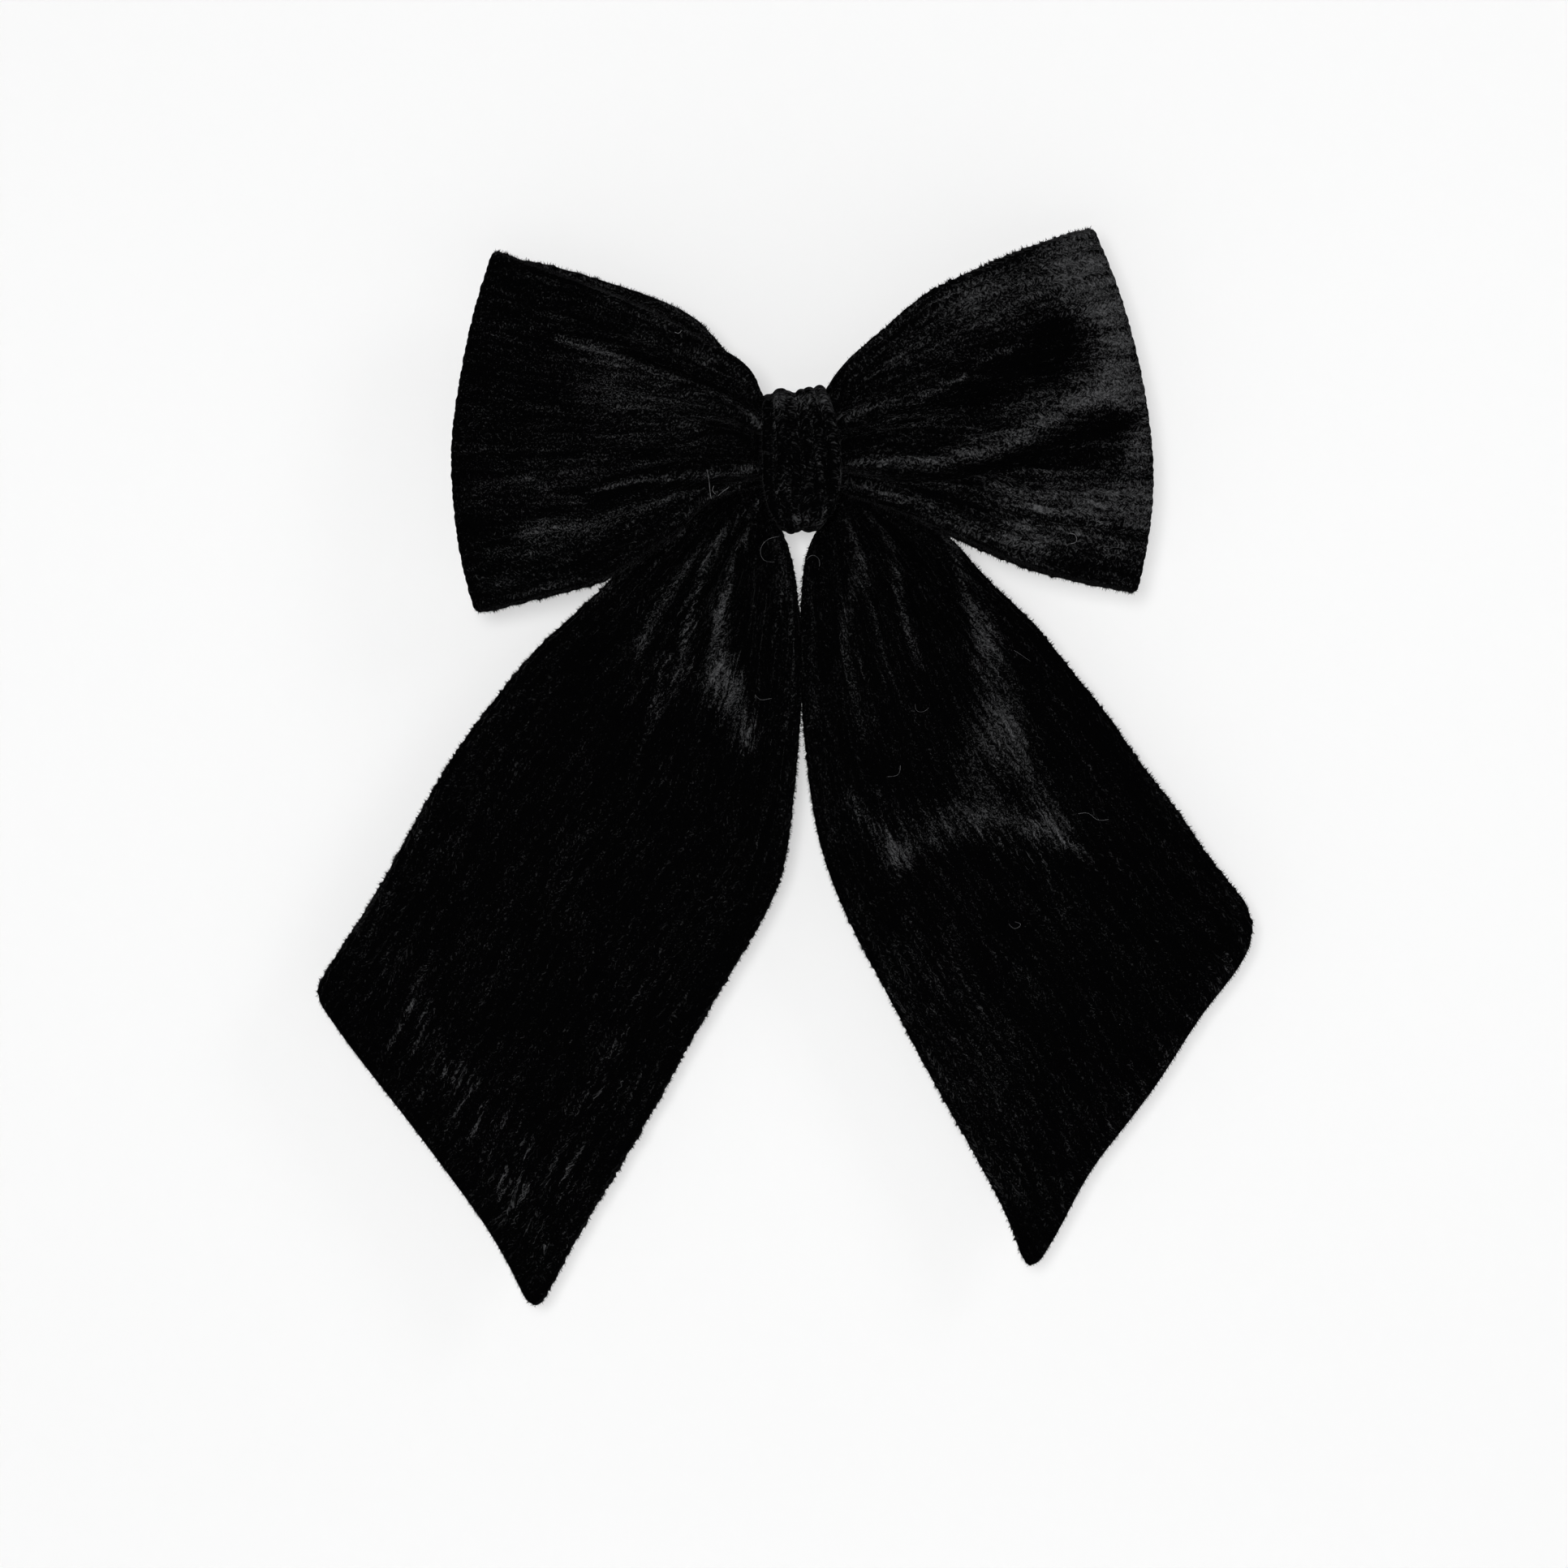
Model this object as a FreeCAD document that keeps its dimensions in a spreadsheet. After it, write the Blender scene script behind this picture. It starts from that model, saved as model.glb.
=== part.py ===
"""Hair bow of velvet tube on a French barrette, in millimetres.

-Y faces the viewer, +X is the viewer's right and +Z is up.
The origin is the middle of the hair channel, between the tension bar and the clasp arm.
The bow is sewn from three tubes of velvet: a band that makes both loops, a strip that is
folded over into two tails, and a knot band that wraps the waist and the barrette's plate.
"""

import FreeCAD
import Part
import Sketcher
import math
import os

V = FreeCAD.Vector

# Driving dimensions: alias, value, what it is. The outlines of the cloth are further down.
DIMENSIONS = [
    # velvet strips
    ("tube_thick", 2.2, "flat velvet tube, two layers with their pile"),
    ("tail_thick", 2.8, "tail tube, two layers and the rolled seams"),
    # waist and knot
    ("knot_width", 16.8, "width of the knot band across the bow"),
    ("knot_foot_width", 8.0, "width of the knot band where the tails leave it"),
    ("knot_top", 15.1, "top of the knot above the origin"),
    ("knot_bottom", 15.0, "bottom of the knot below the origin"),
    ("knot_front", 21.5, "front of the knot before the origin"),
    ("knot_wall", 1.6, "thickness of the knot band"),
    ("knot_corner", 2.4, "outer corner radius of the knot band"),
    ("knot_slack", 0.45, "gap between the plate's inner face and the knot band behind it"),
    ("knot_taper", 7.0, "where the knot band starts to narrow, below the origin"),
    ("waist_half", 3.0, "half length of the tied waist"),
    ("waist_front", 18.6, "front of the tied waist before the origin"),
    ("waist_back", 12.9, "back of the tied waist before the origin"),
    ("waist_top", 12.4, "top of the tied waist above the origin"),
    ("waist_bottom", 5.6, "bottom of the tied waist below the origin"),
    ("thread_radius", 0.22, "gathering thread"),
    ("thread_pitch", 0.62, "distance between turns of thread"),
    ("waist_turns", 6.0, "turns of thread round the loops' waist"),
    ("neck_turns", 4.0, "turns of thread round the tail strip's neck"),
    ("neck_half", 6.75, "half width of the neck that the thread ties"),
    ("neck_height", 6.4, "middle of those turns above the origin"),
    ("stitch_radius", 0.2, "thread of the stitches"),
    # tails
    ("tail_plane", 8.2, "middle plane of the tails before the origin"),
    ("swing_drop", 30.0, "height of the line that a tail swings about, below the origin"),
    ("swing_gap", 0.4, "clearance between a tail's fixed and swinging parts"),
    ("strip_crown", 9.0, "top of the tail strip's fold above the origin"),
    ("strip_crotch", 13.0, "where the tails part, below the origin"),
    # barrette plate
    ("plate_radius", 110.0, "inner radius of the arched plate"),
    ("plate_length", 80.0, "the barrette's nominal size"),
    ("plate_width", 8.0, "plate width"),
    ("plate_thick", 0.8, "plate thickness"),
    ("plate_rise", 5.6, "inner face of the plate before the origin, at the middle"),
    ("sewing_hole_radius", 1.0, "holes at the plate's ends"),
    ("sewing_hole_spacing", 75.2, "distance between those holes"),
    # tension bar
    ("bar_radius", 262.0, "inner radius of the tension bar"),
    ("bar_half", 29.2, "half length of the tension bar"),
    ("bar_width", 5.0, "tension bar width"),
    ("bar_thick", 0.4, "tension bar thickness"),
    ("bar_lift", 2.4, "tension bar above the plate, at the middle"),
    # clasp arm
    ("arm_gap", 8.4, "clasp arm above the plate"),
    ("arm_thick", 0.9, "clasp arm thickness"),
    ("arm_width", 6.0, "clasp arm width"),
    ("arm_end_width", 8.4, "width of the frame round the arm's window"),
    ("arm_end_reach", 34.4, "the arm's far end from the middle"),
    ("arm_frame_start", 26.4, "where the arm widens into its frame"),
    ("window_start", 28.2, "near end of the arm's window"),
    ("window_end", 32.6, "far end of the arm's window"),
    ("window_width", 4.5, "width of the arm's window"),
    # hinge
    ("hinge_reach", 34.0, "hinge from the middle, along the plate"),
    ("hinge_lift", 7.6, "hinge pin's axis above the plate"),
    ("pin_radius", 0.8, "hinge pin"),
    ("knuckle_radius", 1.55, "outside of the arm's rolled knuckle"),
    ("knuckle_bore", 0.85, "bore of the knuckle, running on the pin"),
    ("ear_radius", 1.9, "round top of the plate's hinge ears"),
    # catch
    ("catch_reach", 33.0, "catch from the middle, along the plate"),
    ("foot_length", 6.6, "catch foot along the plate"),
    ("foot_width", 3.9, "catch foot across the plate"),
    ("foot_thick", 0.6, "catch foot thickness"),
    ("foot_lift", 0.07, "catch foot above the plate's curve, at its middle"),
    ("prong_length", 3.0, "width of a catch prong along the plate"),
    ("prong_thick", 0.5, "sheet thickness of a catch prong"),
    ("prong_spread", 1.7, "middle of a prong from the middle plane"),
    ("prong_root", 1.0, "line that a prong flexes about, above the plate"),
    ("thumb_radius", 2.2, "round thumb tab on a prong"),
    ("thumb_reach", 4.0, "middle of the thumb tab from the middle plane"),
    ("thumb_lift", 3.0, "thumb tab above the plate"),
    ("rivet_radius", 0.7, "rivet that holds the catch"),
    ("rivet_head", 1.15, "rivet head radius"),
    ("head_seat", 0.02, "clearance under a rivet's or pin's head"),
    ("hole_clearance", 0.02, "how much wider a riveted or pinned hole is than its pin"),
]

doc = FreeCAD.newDocument("hair_bow")
sheet = doc.addObject("Spreadsheet::Sheet", "Dims")
for row, (alias, value, meaning) in enumerate(DIMENSIONS, start=1):
    sheet.set(f"A{row}", meaning)
    sheet.set(f"B{row}", str(value))
    sheet.setAlias(f"B{row}", alias)
doc.recompute()


def dim(alias):
    """The value of one cell of the sheet."""
    return float(getattr(sheet, alias))


# ---------------------------------------------------------------- helpers


def add_body(label):
    body = doc.addObject("PartDesign::Body", label)
    body.Label = label
    return body


def plane_of(body, role):
    return next(f for f in body.Origin.OriginFeatures if f.Role == role)


def add_sketch(body, role, name, lift="0"):
    """A sketch on one of the body's origin planes, lift along that plane's normal."""
    sketch = body.newObject("Sketcher::SketchObject", name)
    sketch.AttachmentSupport = [(plane_of(body, role), "")]
    sketch.MapMode = "FlatFace"
    if lift != "0":
        sketch.setExpression("AttachmentOffset.Base.z", lift)
    return sketch


def bind(sketch, name, constraint, expression):
    """Adds a driving constraint and binds it to the sheet."""
    index = sketch.addConstraint(Sketcher.Constraint(*constraint))
    sketch.renameConstraint(index, name)
    sketch.setExpression(f"Constraints.{name}", expression)


def join_ends(sketch, count):
    """Makes the last count edges of a sketch one closed wire, whichever way each one runs."""
    first = sketch.GeometryCount - count
    for i in range(count):
        edge, after = first + i, first + (i + 1) % count
        ends = [(side, other) for side in (1, 2) for other in (1, 2)]
        side, other = min(
            ends,
            key=lambda e: (sketch.getPoint(edge, e[0]) - sketch.getPoint(after, e[1])).Length,
        )
        sketch.addConstraint(Sketcher.Constraint("Coincident", edge, side, after, other))


def draw_polygon(sketch, points):
    for i, point in enumerate(points):
        after = points[(i + 1) % len(points)]
        sketch.addGeometry(Part.LineSegment(V(*point, 0), V(*after, 0)), False)
    join_ends(sketch, len(points))


def draw_rectangle(sketch, x_low, y_low, x_high, y_high):
    draw_polygon(
        sketch, [(x_low, y_low), (x_high, y_low), (x_high, y_high), (x_low, y_high)]
    )


def draw_circle(sketch, x, y, name, expression, radius):
    """A circle whose radius is bound to the sheet."""
    index = sketch.addGeometry(Part.Circle(V(x, y, 0), V(0, 0, 1), radius), False)
    bind(sketch, name, ("Radius", index, radius), expression)


def pad(body, sketch, name, length, reverse=False, middle=False):
    feature = body.newObject("PartDesign::Pad", name)
    feature.Profile = sketch
    feature.setExpression("Length", length)
    feature.Reversed = reverse
    feature.Midplane = middle
    return feature


def pocket_through(body, sketch, name):
    feature = body.newObject("PartDesign::Pocket", name)
    feature.Profile = sketch
    feature.Type = "ThroughAll"
    feature.Midplane = True
    return feature


def add_mirror(body, original, name):
    """Mirrors a feature in the middle plane, z = 0."""
    feature = body.newObject("PartDesign::Mirrored", name)
    feature.Originals = [original]
    feature.MirrorPlane = (plane_of(body, "XY_Plane"), [""])
    body.Tip = feature
    return feature


def add_feature(label, shape):
    """A sub-part whose shape is free-form cloth or thread, from Part's own functions."""
    feature = doc.addObject("Part::Feature", label)
    feature.Label = label
    feature.Shape = shape
    return feature


def spline(points):
    """A smooth edge through points (x, y, z)."""
    curve = Part.BSplineCurve()
    curve.interpolate([V(*p) for p in points])
    return curve.toShape()


# ---------------------------------------------------------------- barrette

ARCH_CENTRE = dim("plate_radius") - dim("plate_rise")


def seat_angle(reach):
    """Angle in degrees of a place on the plate's inner face, from the middle."""
    return math.degrees(math.asin(reach / dim("plate_radius")))


def seat(reach):
    """Frame on the plate's inner face: x along the plate, y off it, at a reach from the middle."""
    angle = seat_angle(reach)
    spot = V(reach, ARCH_CENTRE - dim("plate_radius") * math.cos(math.radians(angle)), 0)
    return FreeCAD.Placement(spot, FreeCAD.Rotation(V(0, 0, 1), angle))


def on_seat(reach, points):
    """Points given in a seat's frame, in the row frame's x and y."""
    placement = seat(reach)
    placed = [placement.multVec(V(x, y, 0)) for x, y in points]
    return [(p.x, p.y) for p in placed]


def draw_arch(sketch, centre, near, far, x_low, x_high, names):
    """A strip between two arcs about (0, centre). names are the expressions of its sizes."""

    def angle(radius, x):
        return -math.pi / 2 + math.asin(x / radius)

    def arc(radius):
        circle = Part.Circle(V(0, centre, 0), V(0, 0, 1), radius)
        return Part.ArcOfCircle(circle, angle(radius, x_low), angle(radius, x_high))

    def end(radius, x):
        return V(x, centre - math.sqrt(radius**2 - x**2), 0)

    inner = sketch.addGeometry(arc(near), False)
    right = sketch.addGeometry(Part.LineSegment(end(near, x_high), end(far, x_high)), False)
    outer = sketch.addGeometry(arc(far), False)
    left = sketch.addGeometry(Part.LineSegment(end(far, x_low), end(near, x_low)), False)
    for first, side, second, other in (
        (inner, 2, right, 1),
        (right, 2, outer, 2),
        (outer, 1, left, 1),
        (left, 2, inner, 1),
        (inner, 3, outer, 3),
    ):
        sketch.addConstraint(Sketcher.Constraint("Coincident", first, side, second, other))
    sketch.addConstraint(Sketcher.Constraint("PointOnObject", inner, 3, -2))
    sketch.addConstraint(Sketcher.Constraint("Vertical", right))
    sketch.addConstraint(Sketcher.Constraint("Vertical", left))
    bind(sketch, "centre", ("DistanceY", -1, 1, inner, 3, centre), names["centre"])
    bind(sketch, "near", ("Radius", inner, near), names["near"])
    bind(sketch, "far", ("Radius", outer, far), names["far"])
    bind(sketch, "right", ("DistanceX", -1, 1, inner, 2, x_high), names["right"])
    bind(sketch, "left", ("DistanceX", inner, 1, -1, 1, -x_low), names["left"])


def round_ends(body, name, reach, half, radius, sides=(-1, 1)):
    """Cuts the ends of an arched strip to half circles, seen along Y."""
    cut = add_sketch(body, "XZ_Plane", f"{name}_outline")
    waste = 1.0
    for side in sides:
        start, stop, far = side * (reach - half), side * reach, side * (reach + waste)
        arc = cut.addGeometry(Part.Arc(V(start, half, 0), V(stop, 0, 0), V(start, -half, 0)), False)
        corners = [(start, -half), (start, -half - waste), (far, -half - waste)]
        corners += [(far, half + waste), (start, half + waste), (start, half)]
        for a, b in zip(corners, corners[1:]):
            cut.addGeometry(Part.LineSegment(V(*a, 0), V(*b, 0)), False)
        join_ends(cut, len(corners))
        bind(cut, f"{name}_{'right' if side > 0 else 'left'}", ("Radius", arc, half), radius)
    pocket_through(body, cut, name)


def add_box(body, name, corner, size):
    """An additive box from its low corner."""
    box = body.newObject("PartDesign::AdditiveBox", name)
    box.Length, box.Width, box.Height = size
    box.Placement = FreeCAD.Placement(V(*corner), FreeCAD.Rotation())
    return box


def make_base_plate():
    """Arched spring steel plate with hinge ears, bar tabs, sewing holes and a rivet hole."""
    body = add_body("base_plate")
    profile = add_sketch(body, "XY_Plane", "plate_arch")
    half = dim("plate_length") / 2
    draw_arch(
        profile,
        ARCH_CENTRE,
        dim("plate_radius"),
        dim("plate_radius") + dim("plate_thick"),
        -half,
        half,
        {
            "centre": "Dims.plate_radius - Dims.plate_rise",
            "near": "Dims.plate_radius",
            "far": "Dims.plate_radius + Dims.plate_thick",
            "right": "Dims.plate_length / 2",
            "left": "Dims.plate_length / 2",
        },
    )
    pad(body, profile, "plate_strip", "Dims.plate_width", middle=True)
    round_ends(body, "plate_round", half, dim("plate_width") / 2, "Dims.plate_width / 2")

    ears = add_sketch(
        body, "XY_Plane", "ear_outline", "Dims.plate_width / 2 - Dims.plate_thick"
    )
    lift, top = dim("hinge_lift"), dim("ear_radius")
    sunk = dim("plate_thick") / 2
    foot = top + dim("plate_thick")
    outline = [(-foot, -sunk), (foot, -sunk), (top, lift), (-top, lift)]
    low_left, low_right, high_right, high_left = on_seat(-dim("hinge_reach"), outline)
    crown = on_seat(-dim("hinge_reach"), [(0, lift + top)])[0]
    ears.addGeometry(Part.LineSegment(V(*low_left, 0), V(*low_right, 0)), False)
    ears.addGeometry(Part.LineSegment(V(*low_right, 0), V(*high_right, 0)), False)
    ears.addGeometry(Part.Arc(V(*high_right, 0), V(*crown, 0), V(*high_left, 0)), False)
    ears.addGeometry(Part.LineSegment(V(*high_left, 0), V(*low_left, 0)), False)
    pin_x, pin_y = on_seat(-dim("hinge_reach"), [(0, lift)])[0]
    hole = dim("pin_radius") + dim("hole_clearance")
    draw_circle(ears, pin_x, pin_y, "pin_hole", "Dims.pin_radius + Dims.hole_clearance", hole)
    ear = pad(body, ears, "hinge_ear", "Dims.plate_thick")
    add_mirror(body, ear, "hinge_ears")

    # Four tabs fold over the ends of the tension bar.
    tab_long, tab_wall, lip = 2.0, 0.6, 1.3
    clear_of_bar, set_in = 0.3, 2.7
    lip_lift, root_lift = 4.5, 3.0
    side_z = dim("bar_width") / 2 + clear_of_bar
    tab_x = dim("bar_half") - set_in
    lip_y = lip_lift - dim("plate_rise")
    wall_low = root_lift - dim("plate_rise")
    for end in (-1, 1):
        x = tab_x if end > 0 else -tab_x - tab_long
        for side in (-1, 1):
            name = f"{'right' if end > 0 else 'left'}_{'upper' if side > 0 else 'lower'}"
            z = side_z if side > 0 else -side_z - tab_wall
            z_lip = side_z + tab_wall - lip if side > 0 else -side_z - tab_wall
            size = (tab_long, lip_y + tab_wall - wall_low, tab_wall)
            add_box(body, f"tab_wall_{name}", (x, wall_low, z), size)
            add_box(body, f"tab_lip_{name}", (x, lip_y, z_lip), (tab_long, tab_wall, lip))

    holes = add_sketch(body, "XZ_Plane", "sewing_holes")
    spread, radius = dim("sewing_hole_spacing") / 2, dim("sewing_hole_radius")
    for side, name in ((-1, "left_hole"), (1, "right_hole")):
        draw_circle(holes, side * spread, 0, name, "Dims.sewing_hole_radius", radius)
    pocket_through(body, holes, "sewing_hole_pocket")
    return body


def drill_rivet_hole(shape):
    """The shape with the catch rivet's hole, along the seat's normal."""
    radius = dim("rivet_radius") + dim("hole_clearance")
    reach = 3.0
    hole = Part.makeCylinder(radius, 2 * reach, V(0, -reach, 0), V(0, 1, 0))
    hole.Placement = seat(dim("catch_reach"))
    return shape.cut(hole)


def make_tension_bar():
    """Thin leaf spring that keeps the hair pressed against the arm."""
    body = add_body("tension_bar")
    profile = add_sketch(body, "XY_Plane", "bar_arch")
    far = dim("bar_radius")
    near = far - dim("bar_thick")
    centre = far - dim("plate_rise") + dim("bar_lift")
    draw_arch(
        profile,
        centre,
        near,
        far,
        -dim("bar_half"),
        dim("bar_half"),
        {
            "centre": "Dims.bar_radius - Dims.plate_rise + Dims.bar_lift",
            "near": "Dims.bar_radius - Dims.bar_thick",
            "far": "Dims.bar_radius",
            "right": "Dims.bar_half",
            "left": "Dims.bar_half",
        },
    )
    pad(body, profile, "bar_strip", "Dims.bar_width", middle=True)
    round_ends(body, "bar_round", dim("bar_half"), dim("bar_width") / 2, "Dims.bar_width / 2")
    return body


def make_clasp_arm():
    """Arched arm with a rolled knuckle at one end and a framed window at the other."""
    body = add_body("clasp_arm")
    near = dim("plate_radius") - dim("arm_gap")
    far = near - dim("arm_thick")
    pin_x, pin_y = on_seat(-dim("hinge_reach"), [(0, dim("hinge_lift"))])[0]
    profile = add_sketch(body, "XY_Plane", "arm_arch")
    draw_arch(
        profile,
        ARCH_CENTRE,
        far,
        near,
        pin_x,
        dim("arm_end_reach"),
        {
            "centre": "Dims.plate_radius - Dims.plate_rise",
            "near": "Dims.plate_radius - Dims.arm_gap - Dims.arm_thick",
            "far": "Dims.plate_radius - Dims.arm_gap",
            "right": "Dims.arm_end_reach",
            "left": "(Dims.plate_radius - Dims.hinge_lift) * Dims.hinge_reach / Dims.plate_radius",
        },
    )
    pad(body, profile, "arm_strip", "Dims.arm_end_width", middle=True)
    half = dim("arm_end_width") / 2
    round_ends(body, "arm_round", dim("arm_end_reach"), half, "Dims.arm_end_width / 2", (1,))

    # The sides are cut back to the arm's own width, up to a slanted shoulder.
    waste = 3.0
    shoulder = 1.6
    for side, name in ((1, "upper"), (-1, "lower")):
        cut = add_sketch(body, "XZ_Plane", f"side_cut_{name}")
        inner, outer = side * dim("arm_width") / 2, side * (dim("arm_end_width") / 2 + waste)
        start, stop = pin_x - waste, dim("arm_frame_start")
        draw_polygon(
            cut,
            [(start, inner), (stop - shoulder, inner), (stop + shoulder, outer), (start, outer)],
        )
        pocket_through(body, cut, f"arm_side_{name}")

    knuckle = add_sketch(body, "XY_Plane", "knuckle")
    draw_circle(
        knuckle, pin_x, pin_y, "knuckle_out", "Dims.knuckle_radius", dim("knuckle_radius")
    )
    pad(body, knuckle, "knuckle_roll", "Dims.arm_width", middle=True)
    bore = add_sketch(body, "XY_Plane", "bore")
    draw_circle(bore, pin_x, pin_y, "knuckle_in", "Dims.knuckle_bore", dim("knuckle_bore"))
    pocket_through(body, bore, "knuckle_bore")

    window = add_sketch(body, "XZ_Plane", "window")
    half = dim("window_width") / 2
    draw_rectangle(window, dim("window_start"), -half, dim("window_end"), half)
    pocket_through(body, window, "window_pocket")
    return body


def head_outline(shaft, head, low, dome, way=1):
    """Half outline of a peened head, radius then height, from the shaft to the axis."""
    rim, shoulder = 0.3, 0.75
    heights = (low, low, low + rim * dome, low + shoulder * dome, low + dome)
    return list(zip((shaft, head, head, shoulder * head, 0), (way * h for h in heights)))


def make_hinge_pin():
    """Peened pin through both ears."""
    body = add_body("hinge_pin")
    profile = add_sketch(body, "XZ_Plane", "pin_profile")
    radius, head_rim, dome = dim("pin_radius"), 0.45, 0.5
    head = radius + head_rim
    low = dim("plate_width") / 2 + dim("head_seat")
    draw_polygon(profile, [(0, 0), (radius, 0), *head_outline(radius, head, low, dome)])
    turned = body.newObject("PartDesign::Revolution", "pin_turn")
    turned.Profile = profile
    turned.ReferenceAxis = (profile, ["V_Axis"])
    turned.Angle = 360
    add_mirror(body, turned, "pin_both_ends")
    pin_x, pin_y = on_seat(-dim("hinge_reach"), [(0, dim("hinge_lift"))])[0]
    body.Placement.Base = V(pin_x, pin_y, 0)
    return body


def make_catch_foot():
    """Flat foot of the catch, riveted to the plate between the prongs."""
    body = add_body("catch_foot")
    profile = add_sketch(body, "XZ_Plane", "foot_outline")
    long, wide = dim("foot_length") / 2, dim("foot_width") / 2
    draw_rectangle(profile, -long, -wide, long, wide)
    hole = dim("rivet_radius") + dim("hole_clearance")
    draw_circle(profile, 0, 0, "rivet_hole", "Dims.rivet_radius + Dims.hole_clearance", hole)
    pad(body, profile, "foot_plate", "Dims.foot_thick", reverse=True)
    lifted = FreeCAD.Placement(V(0, dim("foot_lift"), 0), FreeCAD.Rotation())
    body.Placement = seat(dim("catch_reach")).multiply(lifted)
    return body


def make_catch_wing(label, side):
    """One spring prong of the catch: a barbed tongue with a round thumb tab."""
    body = add_body(label)
    thick, long = dim("prong_thick"), dim("prong_length")
    inner, outer = dim("prong_spread") - thick / 2, dim("prong_spread") + thick / 2
    root = dim("prong_root")
    play, barb_reach, barb_height, barb_edge = 0.15, 0.8, 1.25, 0.3
    barb_low = dim("arm_gap") + dim("arm_thick") + play
    barb_out, barb_top = outer + barb_reach, barb_low + barb_height
    profile = add_sketch(body, "YZ_Plane", "tongue_profile")
    points = [
        (root, inner),
        (barb_top, inner),
        (barb_low + barb_edge, barb_out),
        (barb_low, barb_out),
        (barb_low, outer),
        (root, outer),
    ]
    draw_polygon(profile, points)
    pad(body, profile, "tongue", "Dims.prong_length", middle=True)
    heel = add_sketch(body, "YZ_Plane", "heel_round")
    draw_circle(
        heel, root, dim("prong_spread"), "heel_radius", "Dims.prong_thick / 2", thick / 2
    )
    pad(body, heel, "heel", "Dims.prong_length", middle=True)
    tab = add_sketch(body, "XZ_Plane", "thumb_outline", "-Dims.thumb_lift")
    round_tab, reach = dim("thumb_radius"), dim("thumb_reach")
    tab.addGeometry(Part.LineSegment(V(-long / 2, inner, 0), V(long / 2, inner, 0)), False)
    tab.addGeometry(Part.LineSegment(V(long / 2, inner, 0), V(round_tab, reach, 0)), False)
    tab.addGeometry(
        Part.Arc(V(round_tab, reach, 0), V(0, reach + round_tab, 0), V(-round_tab, reach, 0)),
        False,
    )
    tab.addGeometry(Part.LineSegment(V(-round_tab, reach, 0), V(-long / 2, inner, 0)), False)
    pad(body, tab, "thumb_tab", "Dims.prong_thick", reverse=True)
    turn = FreeCAD.Rotation(V(0, 1, 0), 0 if side > 0 else 180)
    body.Placement = seat(dim("catch_reach")).multiply(FreeCAD.Placement(V(0, 0, 0), turn))
    return body


def make_catch_rivet():
    """Rivet through the plate and the catch foot, with a head at each end."""
    body = add_body("catch_rivet")
    profile = add_sketch(body, "XY_Plane", "rivet_profile")
    shaft, head = dim("rivet_radius"), dim("rivet_head")
    behind, before = 0.7, 0.5
    below = dim("plate_thick") + 1.5 * dim("head_seat")
    above = dim("foot_lift") + dim("foot_thick") + dim("head_seat")
    far_head = head_outline(shaft, head, below, behind, way=-1)
    near_head = head_outline(shaft, head, above, before)
    draw_polygon(profile, far_head[::-1] + near_head)
    turned = body.newObject("PartDesign::Revolution", "rivet_turn")
    turned.Profile = profile
    turned.ReferenceAxis = (profile, ["V_Axis"])
    turned.Angle = 360
    body.Placement = seat(dim("catch_reach"))
    return body


# ---------------------------------------------------------------- cloth

# Outlines seen from the front, x then z. Each list has only the points that its curve needs.
LEFT_LOOP = {
    "top": [(-3, 12.3), (-8.6, 12.9), (-15.5, 23.5), (-25, 31.5), (-45, 39.3), (-65.8, 45.2)],
    "fold": [(-65.8, 45.2), (-72.2, 22), (-75.0, 2), (-73.4, -14), (-69.7, -32.8)],
    "bottom": [(-69.7, -32.8), (-43, -26.3), (-27, -16.2), (-8.6, -6.0), (-3, -5.4)],
}
RIGHT_LOOP = {
    "top": [(3, 12.3), (8.6, 12.9), (13.5, 26), (24, 33.6), (43, 43.2), (62.0, 50.4)],
    "fold": [(62.0, 50.4), (71.0, 22), (75.2, -3), (74.2, -16), (71.5, -28.6)],
    "bottom": [(71.5, -28.6), (47.5, -23.4), (25, -13.2), (8.6, -6.4), (3, -5.4)],
}
# The loop's outer face seen from above, for a loop on the right: x then distance before the origin.
LOOP_FRONT = [(3, 18.6), (8.8, 19.0), (15, 22.4), (36, 27.6), (59, 24.0), (73.0, 17.8)]
LOOP_NOSE = [(73.0, 17.8), (75.1, 14.8), (72.5, 12.0)]
LOOP_BACK = [(72.5, 12.0), (57, 10.9), (36, 10.6), (20, 10.8), (8.8, 12.3), (3, 12.9)]
# The hollow inside that tube, a closed curve.
LOOP_HOLLOW = [
    (10.5, 16.2),
    (15, 20.0),
    (36, 25.4),
    (59, 21.7),
    (71.0, 16.2),
    (72.8, 14.9),
    (71.0, 14.0),
    (58, 13.0),
    (36, 12.8),
    (15, 13.4),
]
# Tails below the swing line: outer edge down to its corner, the tip, and the inner edge up.
# The radii round the corner and the tip.
LEFT_TAIL = {
    "outer": [(-46.5, -30), (-63.5, -47), (-85, -78.5), (-107.1, -115.9)],
    "tip": (-57.5, -184.3),
    "inner": [(-7.6, -97.5), (-3.4, -83), (-0.8, -60), (-0.8, -42), (-1.4, -30)],
    "radii": (4.0, 1.5),
}
RIGHT_TAIL = {
    "outer": [(45.8, -30), (61.5, -48), (80, -73.5), (100.5, -100.8)],
    "tip": (50.0, -175.8),
    "inner": [(12.0, -102.8), (4.6, -85), (0.9, -62), (0.1, -45), (0.1, -30)],
    "radii": (7.0, 2.0),
}
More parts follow.
